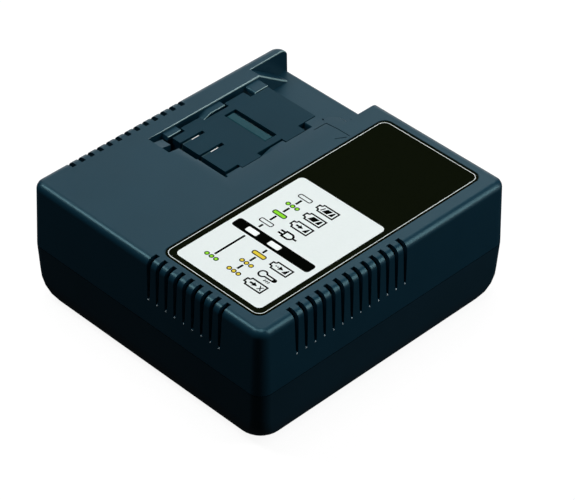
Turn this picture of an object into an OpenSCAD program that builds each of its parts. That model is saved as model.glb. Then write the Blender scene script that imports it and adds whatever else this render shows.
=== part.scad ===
// Bench charger for slide-on tool battery packs.
// Millimetres. X to the right, Y to the rear, Z up. The origin is on the
// floor, in the middle of the case.

/* [Case] */
// Width of the case at the parting line
body_w = 176; // [168:1:190]
// Depth of the case at the parting line
body_d = 185; // [180:1:200]
// Height of the two shells together
body_h = 76; // [72:1:84]
// Height of the lower shell alone
split_h = 35; // [32:0.5:38]
// Wall thickness of both shells
wall = 2.6; // [2.2:0.1:3]
// Draft angle of the upper shell's walls
upper_draft = 2; // [1:0.5:3]
// Draft angle of the lower shell's walls
lower_draft = 2.4; // [1:0.2:4]
// Radius of the vertical corners in plan
corner_r = 8; // [6:0.5:12]
// Radius of the shoulder between walls and top
shoulder_r = 4.5; // [3.5:0.5:6]
// Shadow gap between the two shells
parting_gap = 0.3; // [0.1:0.05:0.6]
// Height of the rounded base edge
base_round_h = 18; // [12:1:22]
// How far the rounded base edge draws in
base_inset = 5; // [3:0.5:6]
// Radius of the base corners in plan
base_corner_r = 15; // [10:1:20]
// How far the rubber feet stand out of the base
foot_proud = 1; // [0.5:0.1:2]

/* [Ventilation] */
// Distance between neighbouring slots
slot_pitch = 6.57; // [6:0.01:7]
// Number of slots on each side
side_slots = 13; // [5:1:15]
// Number of slots at the front
front_slots = 9; // [3:1:11]
// Middle of the side rows, along the depth
side_slots_y = -26.8; // [-40:0.1:-20]
// Middle of the front row, along the width
front_slots_x = 31.2; // [20:0.1:34]
// Slot width across the top and shoulder
slot_w = 2.8; // [2:0.1:3.2]
// Slot width at the lower end
slot_end_w = 1.6; // [1:0.1:1.8]
// How far the slots run down from the top
slot_drop = 25; // [18:0.5:30]
// How far the slots reach in over the top
slot_over = 6.4; // [5:0.1:8]

/* [Dock] */
// Middle of the dock, along the width
dock_x = -43; // [-44:0.5:-41]
// Half the distance between the rail walls
rail_half_w = 28; // [27:0.5:29]
// Distance from the dock's middle to the fin at the bay's left
fin_side_w = 36.2; // [35.5:0.1:37]
// Distance from the dock's middle to the raised side at the bay's right
raised_side_w = 34.4; // [33.5:0.1:36]
// Front end of the rail channel
channel_front_y = -22; // [-24:0.5:-19]
// Width of the hook pocket at the front of the channel
pocket_w = 16.6; // [15:0.2:18]
// Front edge of the deck opening
opening_front_y = -14.2; // [-15:0.2:-13]
// How much further forward the opening reaches, up to the right blade
opening_step = 0.7; // [0.4:0.1:1]
// Depth of the rear bay and of the well below the top
bay_depth = 15; // [14:0.5:17]
// How far the deck lies below the top
deck_drop = 1; // [0.6:0.1:1.4]
// Where the deck ends and the bay starts
bay_front_y = 58.7; // [57:0.1:60]
// Thickness of the low wall between well and bay
ledge_t = 1.6; // [1.4:0.1:2.4]
// Width of the rounded web between deck and raised side
web_w = 11.6; // [10:0.1:13]
// How far that web stands into the bay
web_d = 9.8; // [8:0.1:12]
// Radius of the web's corner in plan
web_r = 8.5; // [6:0.1:9.5]
// Radius of the web's upper edge
web_edge_r = 3.5; // [2:0.1:4]
// Radius of the bay floor's rear edge
bay_lip_r = 2; // [1:0.1:3]
// Where the rail starts to ramp down
ramp_start_y = 61.8; // [60:0.2:63]
// Length of the ramp
ramp_run = 22.5; // [20:0.5:24]
// How far the rail tabs lie below the top
tab_drop = 1.6; // [1.4:0.1:2]
// Thickness of the rail tabs
tab_t = 2.2; // [1.8:0.1:3]
// Distance that the front tabs reach in from the rail wall
tab_reach = 4.8; // [4:0.1:5]
// Distance that the rear tab reaches in
rear_tab_reach = 8.1; // [7:0.1:8.4]
// Front ends of the three tabs
tab_y = [-11.6, 20, 51.6];
// Lengths of the three tabs
tab_len = [9.4, 10.6, 8.6];
// Length of each tab's nose
tab_nose = [0.8, 5.4, 1.6];
// Front ends of the three teeth that face the tabs
tooth_y = [-12.6, 21, 50.6];
// Length of each tooth's nose
tooth_nose = [0.8, 7.4, 1];
// Thickness of each tooth at its nose
tooth_t = [2.2, 2.2, 5];
// Gap between each tooth and the side of the plate
tooth_gap = [2.2, 1.6, 0.5];
// Free length between the plate's wings and the second and third teeth
tooth_space = [1.2, 4.2];

/* [Dock plate] */
// Half the width of the plate over its wings
plate_half_w = 24; // [23:0.2:24.4]
// Front edge of the plate
plate_front_y = -11; // [-12:0.1:-10]
// Thickness of the plate
plate_t = 2.4; // [2:0.1:3]
// Height of the stiffening skirt under the plate's edge
skirt_h = 1.6; // [1:0.1:2]
// Thickness of the skirt, and of the apron at the plate's rear
skirt_t = 1.2; // [1:0.1:1.6]
// How far a pack presses the plate down
plate_travel = 6; // [4:0.5:6]
// Gap between the plate and the opening
plate_gap = 0.4; // [0.3:0.05:0.6]
// Depth of the notches that clear the tabs
notch_depth = 3.5; // [3:0.1:4.4]
// Depth of the rear pair of notches
rear_notch_depth = 5.6; // [5:0.2:6.6]
// Radius of the guide legs
leg_r = 2.2; // [1.8:0.1:2.6]
// Running gap around each guide leg
leg_gap = 0.3; // [0.2:0.05:0.5]
// Wire diameter of the return springs
spring_wire = 0.8; // [0.6:0.05:1]
// Turns of each return spring
spring_turns = 4.5; // [3:0.5:5]

/* [Contacts] */
// Distance between the two blades
blade_pitch = 15; // [13:0.5:17]
// Place of the blade pair, measured from the middle of the dock
blade_shift = -5.4; // [-7:0.1:-4]
// Middle of the blades, along the depth
blade_y = -1.5; // [-2.5:0.1:0]
// Length of a blade along the pack's travel
blade_len = 5.4; // [4.5:0.1:6]
// Thickness of a blade
blade_t = 0.8; // [0.6:0.05:1]
// Free width in the plate's slot to the left of a blade
blade_slot_left = 1.2; // [0.8:0.1:1.4]
// Free width in the plate's slot to the right of a blade
blade_slot_right = 0.4; // [0.3:0.05:0.6]
// Rear end of those slots
blade_slot_rear_y = 5.2; // [4:0.1:6.5]
// Width of the latch catch
catch_w = 29.8; // [26:0.2:31]
// Depth of the latch catch
catch_d = 5.5; // [4.5:0.1:6]
// Front face of the latch catch
catch_y = 23.4; // [22:0.1:25]
// Place of the latch catch, measured from the middle of the dock
catch_shift = 0.7; // [-0.5:0.1:1.5]
// Pocket behind the catch that the pack's latch drops into
catch_pocket = 2.8; // [2:0.1:3.5]
// Free width in the plate's window to the left of the catch
catch_left_gap = 1.8; // [0.4:0.1:2.4]

/* [Label and lights] */
// Width of the label film
label_w = 71.8; // [68:0.2:74]
// Length of the label film
label_d = 165.2; // [160:0.2:167]
// Middle of the label, along the width
label_x = 39.9; // [39:0.1:41]
// Middle of the label, along the depth
label_y = 0.9; // [0:0.1:2]
// Corner radius of the label
label_r = 5.4; // [4:0.2:7]
// Thickness of the label film
label_t = 0.4; // [0.3:0.05:0.6]
// Gap between the label and its recess
label_gap = 0.3; // [0.2:0.05:0.5]
// Width of an indicator window
window_w = 8.3; // [7:0.1:9]
// Depth of an indicator window
window_d = 3.8; // [3:0.1:4.5]
// Distance between the two indicator windows
window_pitch = 16.2; // [14:0.1:18]
// Middle of the left window, measured from the label's middle
window_shift = -15.7; // [-18:0.1:-14]
// Row of the windows, along the depth
window_y = -36.3; // [-40:0.1:-34]

/* [Board] */
// Width of the main board
board_w = 132; // [126:1:136]
// Depth of the main board
board_d = 140; // [134:1:146]
// Thickness of the main board
board_t = 1.6; // [1.2:0.1:2]
// Height of the standoffs under the board
standoff_h = 5.4; // [4:0.1:7]
// Distance of the board screws from the board's edge
board_hole_in = 5; // [4:0.5:7]

/* [Fasteners and feet] */
// Distance of the case screws from the side walls
screw_in_x = 14; // [13:0.5:16]
// Distance of the case screws from the front and rear walls
screw_in_y = 14; // [13:0.5:16]
// Radius of the case screws
screw_r = 1.95; // [1.5:0.05:2]
// Radius of the case screws' heads
screw_head_r = 3.6; // [3:0.1:3.8]
// Length of the case screws under the head
screw_len = 28; // [26:0.5:30]
// Height of the screw heads' seat above the floor
screw_seat_z = 20; // [18:0.5:22]
// Radius of the case bosses
boss_r = 5.2; // [4.8:0.1:6]
// Radius of the rubber feet
foot_r = 7; // [5:0.5:8]
// Depth of the recesses that hold the feet
foot_recess = 1.2; // [0.8:0.1:1.4]
// Distance of the feet from the side walls
foot_in_x = 30; // [28:0.5:34]
// Distance of the feet from the front and rear walls
foot_in_y = 32; // [30:0.5:36]

/* [Cord inlet] */
// Place of the inlet along the rear wall
inlet_x = 52; // [45:0.5:56]
// Height of the inlet above the floor
inlet_z = 24; // [22:0.5:27]
// Radius of the bore for the cord
inlet_r = 3.7; // [3:0.1:4]
// Radius of the gland where it passes the wall
gland_r = 6; // [5.5:0.1:6.5]
// Radius of the gland's inner and outer flanges
gland_flange_r = 8; // [7.5:0.1:8.5]
// Length of the gland inside the wall
gland_len = 9; // [7:0.5:12]

/* [Hidden] */

// How far a cutting shape runs past the face that it opens
past = 1;
// Thickness of the slices that a blended shell is stretched over
slice_t = 0.02;
// Sides of a full circle on blended and on turned shapes
blend_fn = 32;
round_fn = 48;
// Angle between the slices of a rounded edge
round_step = 18;
// Smallest radius that is left on an inner corner
least_r = 0.8;
// Gap between two pieces that only rest beside each other
seat_gap = 0.1;
// Gap of a press fit, and around a screw in its pilot hole
press_gap = 0.05;
// Gap around a screw that passes through
screw_gap = 0.3;
// Length that a pilot hole is deeper than its screw
pilot_spare = 3;

// Levels
base_z = foot_proud;
split_z = base_z + split_h;
top_z = base_z + body_h;
deck_z = top_z - deck_drop;
bay_z = top_z - bay_depth;
tab_z = top_z - tab_drop;
inner_top_z = top_z - wall;
board_z = base_z + wall + standoff_h;
board_top_z = board_z + board_t;

// Edges
half_w = body_w / 2;
half_d = body_d / 2;
top_half_w = half_w - (top_z - split_z) * tan(upper_draft);
top_half_d = half_d - (top_z - split_z) * tan(upper_draft);
rail_left_x = dock_x - rail_half_w;
guide_left_x = dock_x - fin_side_w;
guide_right_x = dock_x + raised_side_w;
well_right_x = dock_x + plate_half_w + plate_gap;
well_left_x = rail_left_x;
plate_rear_y = bay_front_y;
apron_h = bay_depth - deck_drop - plate_t - plate_travel - plate_gap - 2 * seat_gap;
ledge_top_z = deck_z - plate_t - skirt_h - plate_travel - plate_gap;
web_x = guide_right_x - web_w + web_r;
web_y = bay_front_y + web_d - web_r;
deck_slope_x = 12;
deck_slope_y = 6.5;
catch_x = dock_x + catch_shift;
blade_mid_x = dock_x + blade_shift;

// Colours
shell_dark = [0.15, 0.19, 0.23];
shell_mid = [0.19, 0.24, 0.28];
copper = [0.76, 0.45, 0.24];
tinned = [0.78, 0.78, 0.76];
ferrite = [0.2, 0.2, 0.22];
board_green = [0.1, 0.32, 0.18];

// ---------------------------------------------------------------- helpers

// A slice of a rounded rectangle, for stretching shells over
module slice(w, d, r, z) {
    translate([0, 0, z])
        linear_extrude(slice_t)
            offset(r = r, $fn = blend_fn)
                square([w - 2 * r, d - 2 * r], center = true);
}

// A flat rounded bar from its lower centre upwards
module rounded_bar(w, d, h, r) {
    linear_extrude(h)
        offset(r = r, $fn = blend_fn)
            square([w - 2 * r, d - 2 * r], center = true);
}

// A block given by its lowest and highest corners
module block(low, high) {
    translate(low) cube(high - low);
}

// A profile in the X-Z plane, extruded along Y
module along_y(y0, y1) {
    translate([0, y1, 0]) rotate([90, 0, 0]) linear_extrude(y1 - y0) children();
}

// A profile in the Y-Z plane, extruded along X
module along_x(x0, x1) {
    translate([x0, 0, 0]) rotate([90, 0, 90]) linear_extrude(x1 - x0) children();
}

// The same thing at the four places (+-x, +-y)
module four_places(x, y) {
    for (sx = [-1, 1], sy = [-1, 1]) translate([sx * x, sy * y, 0]) children();
}

// ----------------------------------------------------------- case shells

// Upper shell's form, drawn in by g on every side
module upper_form(g) {
    r = max(shoulder_r - g, least_r);
    rise = top_z - g - r - split_z;
    lean = rise * tan(upper_draft);
    hull() {
        slice(body_w - 2 * g, body_d - 2 * g, max(corner_r - g, least_r),
            split_z - (g > 0 ? past : 0));
        for (a = [0 : round_step : 90]) {
            inset = g + lean + r * (1 - cos(a));
            slice(body_w - 2 * inset, body_d - 2 * inset, max(corner_r - inset + g, least_r),
                top_z - g - r + (r - slice_t) * sin(a));
        }
    }
}

// Lower shell's form, drawn in by g on every side
module lower_form(g) {
    round_h = base_round_h - g;
    lean = (split_h - base_round_h) * tan(lower_draft);
    hull() {
        slice(body_w - 2 * g, body_d - 2 * g, max(corner_r - g, least_r),
            split_z + (g > 0 ? past : -parting_gap - slice_t));
        for (a = [0 : round_step : 90]) {
            inset = g + lean + base_inset * (1 - cos(a));
            r = corner_r + (base_corner_r - corner_r) * (1 - cos(a)) - g;
            slice(body_w - 2 * inset, body_d - 2 * inset, max(r, least_r),
                base_z + g + round_h * (1 - sin(a)));
        }
    }
}

// Ventilation slot through a wall that faces +X, centred on y = 0. edge_x is
// where the wall's flat face would meet the top.
module slot_cutter(edge_x) {
    low_z = top_z - slot_drop;
    in_x = edge_x - slot_over;
    out_x = edge_x + slot_drop * tan(upper_draft) + past;
    back_x = edge_x - wall - past;
    shoulder_z = top_z - shoulder_r;
    intersection() {
        along_y(-slot_w, slot_w)
            polygon([[out_x, low_z], [back_x, low_z], [back_x, inner_top_z - shoulder_r],
                [in_x, inner_top_z - past], [in_x, top_z + past], [out_x, top_z + past]]);
        along_x(in_x - slot_over, out_x + past)
            polygon([[-slot_end_w / 2, low_z - past], [slot_end_w / 2, low_z - past],
                [slot_w / 2, shoulder_z], [slot_w / 2, top_z + 2 * past],
                [-slot_w / 2, top_z + 2 * past], [-slot_w / 2, shoulder_z]]);
    }
}

module all_slots() {
    side_start = side_slots_y - (side_slots - 1) * slot_pitch / 2;
    front_start = front_slots_x - (front_slots - 1) * slot_pitch / 2;
    for (i = [0 : side_slots - 1]) {
        y = side_start + i * slot_pitch;
        translate([0, y, 0]) slot_cutter(top_half_w);
        translate([0, y, 0]) mirror([1, 0, 0]) slot_cutter(top_half_w);
    }
    for (i = [0 : front_slots - 1])
        translate([front_start + i * slot_pitch, 0, 0]) rotate([0, 0, -90]) slot_cutter(top_half_d);
}

// ------------------------------------------------------------------ dock

// Outline of the rounded web between deck and raised side
module web_plan() {
    right = guide_right_x + past;
    low = bay_front_y - past;
    translate([web_x, web_y]) circle(r = web_r, $fn = round_fn);
    translate([web_x, low]) square([right - web_x, web_y + web_r - low]);
    translate([web_x - web_r, low]) square([right - web_x + web_r, web_y - low]);
}

// Outline of the rear bay in plan, drawn out by g
module bay_plan(g) {
    offset(delta = g)
        difference() {
            translate([rail_left_x, bay_front_y])
                square([guide_right_x - rail_left_x, half_d - bay_front_y + 2 * past]);
            web_plan();
        }
}

// What rounds the upper edge of the web
module web_edge() {
    r = web_edge_r;
    translate([web_x, web_y, top_z - r])
        rotate([0, 0, 90])
            rotate_extrude(angle = 90, $fn = round_fn)
                difference() {
                    translate([web_r - r, 0]) square(r + past);
                    translate([web_r - r, 0]) circle(r = r, $fn = round_fn);
                }
    along_x(web_x, guide_right_x)
        difference() {
            translate([web_y + web_r - r, top_z - r]) square(r + past);
            translate([web_y + web_r - r, top_z - r]) circle(r = r, $fn = round_fn);
        }
}

// What rounds the rear edge of the bay's floor
module bay_lip() {
    r = bay_lip_r;
    y = half_d - (bay_z - r - split_z) * tan(upper_draft) - r;
    along_x(guide_left_x, guide_right_x)
        difference() {
            translate([y, bay_z - r]) square(r + past);
            translate([y, bay_z - r]) circle(r = r, $fn = round_fn);
        }
}

// Side view of the strip that ramps down beside the rail, drawn in by g
module ramp_side(g) {
    drop = bay_depth;
    polygon([[ramp_start_y - g, top_z + past], [ramp_start_y - g, top_z - g / 2],
        [ramp_start_y + ramp_run - g, top_z - drop - g], [half_d + 2 * past, top_z - drop - g],
        [half_d + 2 * past, top_z + past]]);
}

// Everything that the pack's tail needs behind the deck
module bay_space(g) {
    translate([0, 0, bay_z - g]) linear_extrude(bay_depth + g + past) bay_plan(g);
    along_x(guide_left_x - g, rail_left_x + past) ramp_side(g);
}

// Outline of the well under the deck, with the hook pocket at its front left
module well_plan(g) {
    step_y = opening_front_y - opening_step;
    offset(delta = g)
        union() {
            translate([well_left_x, opening_front_y])
                square([well_right_x - well_left_x, bay_front_y - opening_front_y + past]);
            translate([well_left_x, step_y])
                square([blade_mid_x + blade_pitch / 2 - well_left_x, opening_step + past]);
            translate([well_left_x, channel_front_y])
                square([pocket_w, opening_front_y - channel_front_y + past]);
        }
}

module well_space(g) {
    translate([0, 0, bay_z - g]) linear_extrude(bay_depth + g + past) well_plan(g);
}

// Low wall across the well's rear end, inside the plate's apron
module ledge() {
    rear = bay_front_y - skirt_t - 2 * plate_gap;
    block([well_left_x - past, rear - ledge_t, bay_z - past], [well_right_x + past, rear, ledge_top_z]);
}

// Shallow dish of the deck, sloping up to the top at the front and right. It
// runs on over the web behind the deck.
module deck_dish() {
    rear = bay_front_y + web_d + past;
    intersection() {
        along_y(opening_front_y - 2 * deck_slope_y, rear)
            polygon([[rail_left_x, deck_z], [well_right_x, deck_z],
                [well_right_x + deck_slope_x, top_z], [well_right_x + deck_slope_x, top_z + past],
                [rail_left_x, top_z + past]]);
        along_x(rail_left_x - past, well_right_x + 2 * deck_slope_x)
            polygon([[opening_front_y - deck_slope_y, top_z], [opening_front_y, deck_z],
                [rear, deck_z], [rear, top_z + past], [opening_front_y - deck_slope_y, top_z + past]]);
    }
}

// Side outline of a nose that ends level at z: a straight slope, or a steep
// one that is rounded over
function nose_points(y, len, t, z, rounded) =
    rounded ? [for (a = [0 : round_step : 90]) [y + len * (1 - cos(a)), z - t + t * sin(a)]]
        : [[y, z - t], [y + len, z]];

// One hook tab on the left rail wall
module rail_tab(i) {
    rear = tab_y[i] + tab_len[i];
    reach = i == 2 ? rear_tab_reach : tab_reach;
    along_x(rail_left_x - past, rail_left_x + reach)
        polygon(concat(nose_points(tab_y[i] - tab_nose[i], tab_nose[i], tab_t, tab_z, i == 2),
            [[rear, tab_z], [rear, tab_z - tab_t]]));
}

// Where a tooth starts and ends
function tooth_low_y(i) = tooth_y[i] - tooth_nose[i];
function tooth_end_y(i) = i == 2 ? bay_front_y : tab_y[i] + tab_len[i] - (i == 1 ? plate_gap : 0);

// Tooth on the right side of the opening, level with the deck
module deck_tooth(i) {
    depth = (i == 2 ? rear_notch_depth : notch_depth) + plate_gap - tooth_gap[i];
    rear = tooth_end_y(i);
    along_x(well_right_x - depth, well_right_x + past)
        polygon(concat(nose_points(tooth_low_y(i), tooth_nose[i], tooth_t[i], deck_z, i == 2),
            [[rear, deck_z], [rear, deck_z - tooth_t[i]]]));
}

// Low stop beside the hook pocket
module pocket_stop() {
    stop_left = 3.8;
    stop_w = 6.6;
    stop_drop = 0.8;
    stop_space = 2.8;
    front = channel_front_y - wall;
    rear = tab_y[0] - tab_nose[0] - stop_space;
    along_x(rail_left_x + stop_left, rail_left_x + stop_left + stop_w)
        polygon([[front, bay_z - wall], [front, top_z - 2 * seat_gap], [rear, deck_z - stop_drop],
            [rear, bay_z - wall]]);
}

// Places of the plate's guide legs, measured from the middle of the dock
leg_places = [[-15, 14.2], [15, 14.2], [-12.6, 48], [12.6, 48]];

module at_legs() {
    for (p = leg_places) translate([dock_x + p[0], p[1], 0]) children();
}

// ----------------------------------------------------------- main shells

screw_x = half_w - screw_in_x;
screw_y = half_d - screw_in_y;

module upper_bosses() {
    four_places(screw_x, screw_y)
        translate([0, 0, split_z]) cylinder(r = boss_r, h = body_h, $fn = round_fn);
}

led_board_w = 40;
led_board_d = 16;
led_board_t = 1.6;
led_board_r = 1;
led_board_drop = 9;
led_board_z = inner_top_z - led_board_drop;
led_post_in = 3;
led_post_x = led_board_w / 2 - led_post_in;
led_post_r = 2.4;
led_pin_r = 1.1;
led_pin_proud = 0.6;
window_x = label_x + window_shift;
window_r = 1;
led_board_x = window_x + window_pitch / 2;

// Posts that carry the indicator board under the top, with staked pins
module led_posts() {
    for (s = [-1, 1])
        translate([led_board_x + s * led_post_x, window_y, 0]) {
            translate([0, 0, led_board_z + led_board_t])
                cylinder(r = led_post_r, h = inner_top_z - led_board_z, $fn = round_fn);
            translate([0, 0, led_board_z - led_pin_proud])
                cylinder(r = led_pin_r, h = inner_top_z - led_board_z, $fn = round_fn);
        }
}

module at_windows() {
    for (i = [0, 1]) translate([window_x + i * window_pitch, window_y, 0]) children();
}

block_w = 31;
block_d = 12;
block_top_z = ledge_top_z;
block_plug_w = 18;
block_plug_d = 9;
block_plug_h = 5;
block_r = 1.5;
plug_r = 1;

// Screws that hold the contact block and the latch catch from below
dock_screw_r = 1.1;
dock_screw_gap = 0.2;
block_screw_in = 2.6;
catch_screw_in = 5;
block_screw_x = block_w / 2 - block_screw_in;
catch_screw_x = catch_w / 2 - catch_screw_in;

module at_dock_screws() {
    for (s = [-1, 1]) {
        translate([blade_mid_x + s * block_screw_x, blade_y, 0]) children();
        translate([catch_x + s * catch_screw_x, catch_y + catch_d / 2, 0]) children();
    }
}

module upper_case() {
    color(shell_mid)
    union() {
        difference() {
            union() {
                difference() {
                    upper_form(0);
                    upper_form(wall);
                }
                intersection() {
                    upper_form(0);
                    union() {
                        bay_space(wall);
                        well_space(wall);
                        upper_bosses();
                        led_posts();
                    }
                }
            }
            bay_space(0);
            well_space(0);
            web_edge();
            bay_lip();
            deck_dish();
            all_slots();
            // Recess for the label, and the openings for the light pipes
            translate([label_x, label_y, top_z - label_t])
                rounded_bar(label_w + 2 * label_gap, label_d + 2 * label_gap, label_t + past, label_r);
            at_windows()
                translate([0, 0, led_board_z + led_board_t])
                    rounded_bar(window_w + 2 * label_gap, window_d + 2 * label_gap,
                        top_z - led_board_z, window_r);
            // Pilot holes of the case screws
            four_places(screw_x, screw_y)
                translate([0, 0, split_z - past])
                    cylinder(r = screw_r + press_gap, $fn = round_fn,
                        h = screw_len - (split_z - screw_seat_z) + pilot_spare + past);
            // Holes for the plate's legs and for the contact block
            at_legs()
                translate([0, 0, bay_z - wall - past])
                    cylinder(r = leg_r + leg_gap, h = wall + 2 * past, $fn = round_fn);
            at_dock_screws()
                translate([0, 0, bay_z - wall - past])
                    cylinder(r = dock_screw_r + dock_screw_gap, h = wall + 2 * past, $fn = round_fn);
            translate([blade_mid_x, blade_y, bay_z - wall - past])
                rounded_bar(block_plug_w + 2 * seat_gap, block_plug_d + 2 * seat_gap,
                    wall + 2 * past, plug_r);
        }
        for (i = [0 : 2]) {
            rail_tab(i);
            deck_tooth(i);
        }
        pocket_stop();
        ledge();
    }
}

tongue_t = 1.2;
tongue_h = 2;
tongue_gap = 0.15;
tongue_root = 7;

board_x = 4;
board_hole_x = board_w / 2 - board_hole_in;
board_hole_y = board_d / 2 - board_hole_in;
standoff_r = 4;
board_screw_r = 1.4;
board_pilot = 5;
board_corner_r = 3;

module at_board_holes() {
    translate([board_x, 0, 0]) four_places(board_hole_x, board_hole_y) children();
}

// Ribs that stiffen the floor between the standoffs
module floor_ribs() {
    rib_t = 1.6;
    rib_drop = 1.4;
    rib_h = standoff_h - rib_drop;
    z = base_z + wall - past;
    for (s = [-1, 1]) {
        block([board_x - board_hole_x, s * board_hole_y - rib_t / 2, z],
            [board_x + board_hole_x, s * board_hole_y + rib_t / 2, z + past + rib_h]);
        block([board_x + s * board_hole_x - rib_t / 2, -board_hole_y, z],
            [board_x + s * board_hole_x + rib_t / 2, board_hole_y, z + past + rib_h]);
    }
    block([board_x - rib_t / 2, -board_hole_y, z],
        [board_x + rib_t / 2, board_hole_y, z + past + rib_h]);
}

module tongue() {
    low_z = split_z - tongue_root;
    w = body_w - 2 * (wall + tongue_gap);
    d = body_d - 2 * (wall + tongue_gap);
    r = max(corner_r - wall, 2 * least_r);
    translate([0, 0, low_z])
        difference() {
            rounded_bar(w, d, tongue_root + tongue_h, r);
            translate([0, 0, -past])
                rounded_bar(w - 2 * tongue_t, d - 2 * tongue_t, tongue_root + tongue_h + 2 * past,
                    max(r - tongue_t, least_r));
        }
}

foot_x = half_w - foot_in_x;
foot_y = half_d - foot_in_y;
inlet_wall_y = half_d - (split_z - inlet_z) * tan(lower_draft);
gland_sink = 0.8;
gland_seat_y = inlet_wall_y - gland_sink;
gland_flange_t = 1.1;
gland_inner_t = 1.6;
gland_edge = 0.6;

module lower_case() {
    color(shell_dark)
    difference() {
        union() {
            difference() {
                lower_form(0);
                lower_form(wall);
            }
            tongue();
            intersection() {
                lower_form(0);
                union() {
                    four_places(screw_x, screw_y)
                        cylinder(r = boss_r, h = split_z, $fn = round_fn);
                    four_places(foot_x, foot_y)
                        translate([0, 0, base_z])
                            cylinder(r = foot_r + wall / 2, h = foot_recess + wall, $fn = round_fn);
                    at_board_holes()
                        translate([0, 0, base_z])
                            cylinder(r = standoff_r, h = board_z - base_z, $fn = round_fn);
                    floor_ribs();
                }
            }
        }
        // Counterbores and clearance holes of the case screws
        four_places(screw_x, screw_y) {
            translate([0, 0, base_z - past])
                cylinder(r = screw_head_r + screw_gap, h = screw_seat_z - base_z + past, $fn = round_fn);
            cylinder(r = screw_r + screw_gap, h = split_z + past, $fn = round_fn);
        }
        four_places(foot_x, foot_y)
            translate([0, 0, base_z - past])
                cylinder(r = foot_r + seat_gap, h = foot_recess + past, $fn = round_fn);
        at_board_holes()
            translate([0, 0, board_z - board_pilot])
                cylinder(r = board_screw_r + press_gap, h = board_pilot + past, $fn = round_fn);
        // Hole for the cord gland in the rear wall, with a seat for its flange
        translate([inlet_x, half_d + past, inlet_z])
            rotate([90, 0, 0]) {
                cylinder(r = gland_r + seat_gap, h = wall + base_inset + 2 * past, $fn = round_fn);
                cylinder(r = gland_flange_r + 2 * seat_gap, h = half_d + past - gland_seat_y,
                    $fn = round_fn);
            }
    }
}

// ------------------------------------------------------------ dock plate

// Half outline of the plate: wings between the tabs, notches at the tabs
module plate_plan() {
    w = plate_half_w;
    n = w - notch_depth;
    m = w - rear_notch_depth;
    wing = [tooth_end_y(0) + plate_gap, tooth_low_y(1) - tooth_space[0],
        tooth_end_y(1) + 2 * plate_gap, tooth_low_y(2) - tooth_space[1]];
    half = [[n, plate_front_y], [n, wing[0]], [w, wing[0]], [w, wing[1]], [n, wing[1]],
        [n, wing[2]], [w, wing[2]], [w, wing[3]], [m, wing[3]], [m, plate_rear_y]];
    other = [for (i = [len(half) - 1 : -1 : 0]) [-half[i][0], half[i][1]]];
    translate([dock_x, 0]) polygon(concat(half, other));
}

module plate_windows() {
    slot_d = blade_slot_rear_y - plate_front_y + past;
    slot_w = blade_slot_left + blade_t + blade_slot_right;
    for (s = [-1, 1])
        translate([blade_mid_x + s * blade_pitch / 2 - blade_t / 2 - blade_slot_left,
            plate_front_y - past])
            square([slot_w, slot_d]);
    translate([catch_x - catch_w / 2 - catch_left_gap, catch_y - plate_gap])
        square([catch_left_gap + catch_w + plate_gap, catch_d + catch_pocket + plate_gap]);
}

leg_hook = 0.7;
leg_taper = 0.5;
leg_head_r = leg_r + leg_gap + leg_hook;
leg_head_h = 3;
leg_slit = 1;

module plate_leg() {
    top = deck_z - plate_t;
    head_top = bay_z - wall - leg_gap;
    difference() {
        union() {
            translate([0, 0, head_top - leg_head_h / 2])
                cylinder(r = leg_r, h = top - head_top + leg_head_h / 2 + past / 2, $fn = round_fn);
            translate([0, 0, head_top - leg_head_h])
                cylinder(r1 = leg_r - leg_taper, r2 = leg_head_r, h = leg_head_h, $fn = round_fn);
        }
        translate([-leg_slit / 2, -leg_head_r - past, head_top - leg_head_h - past])
            cube([leg_slit, 2 * (leg_head_r + past), leg_head_h + wall + 2 * past]);
    }
}

module dock_plate() {
    apron_half_w = plate_half_w - rear_notch_depth;
    color(shell_mid) {
        union() {
            difference() {
                union() {
                    translate([0, 0, deck_z - plate_t]) linear_extrude(plate_t) plate_plan();
                    translate([0, 0, deck_z - plate_t - skirt_h])
                        linear_extrude(skirt_h + plate_t / 2)
                            difference() {
                                plate_plan();
                                offset(delta = -skirt_t) plate_plan();
                            }
                    // Apron that closes the well towards the bay
                    block([dock_x - apron_half_w, plate_rear_y - skirt_t, deck_z - plate_t - apron_h],
                        [dock_x + apron_half_w, plate_rear_y, deck_z - plate_t / 2]);
                }
                translate([0, 0, deck_z - plate_t - skirt_h - past])
                    linear_extrude(plate_t + skirt_h + 2 * past) plate_windows();
            }
            at_legs() plate_leg();
        }
    }
}

// Points of a closed tube of radius r, swept along a coil of radius coil_r
function coil_ring(coil_r, r, turn, z, sides) =
    [for (k = [0 : sides - 1]) let (a = 360 * k / sides)
        [(coil_r + r * cos(a)) * cos(turn), (coil_r + r * cos(a)) * sin(turn), z + r * sin(a)]];

// Coil spring whose first and last flat_turns lie flat
module coil(coil_r, r, height, turns, flat_turns, steps, sides) {
    n = ceil(turns * steps);
    rise = height - 2 * r;
    pitch = rise / (turns - 2 * flat_turns);
    points = [for (i = [0 : n]) let (turn = turns * i / n)
        each coil_ring(coil_r, r, 360 * turn,
            r + min(max(pitch * (turn - flat_turns), 0), rise), sides)];
    walls = [for (i = [0 : n - 1], k = [0 : sides - 1]) let (j = (k + 1) % sides)
        each [[i * sides + k, (i + 1) * sides + k, i * sides + j],
            [i * sides + j, (i + 1) * sides + k, (i + 1) * sides + j]]];
    start = [[for (k = [0 : sides - 1]) k]];
    end = [[for (k = [sides - 1 : -1 : 0]) n * sides + k]];
    polyhedron(concat(points), concat(walls, start, end), convexity = 6);
}

spring_gap = 0.35;
spring_flat = 0.6;
spring_steps = 16;
spring_sides = 6;
spring_coil_r = leg_r + spring_gap + spring_wire / 2;

module plate_springs() {
    color(tinned)
        at_legs()
            translate([0, 0, bay_z + seat_gap])
                coil(spring_coil_r, spring_wire / 2, deck_z - plate_t - bay_z - 2 * seat_gap,
                    spring_turns, spring_flat, spring_steps, spring_sides);
}

// -------------------------------------------------------------- contacts

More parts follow.
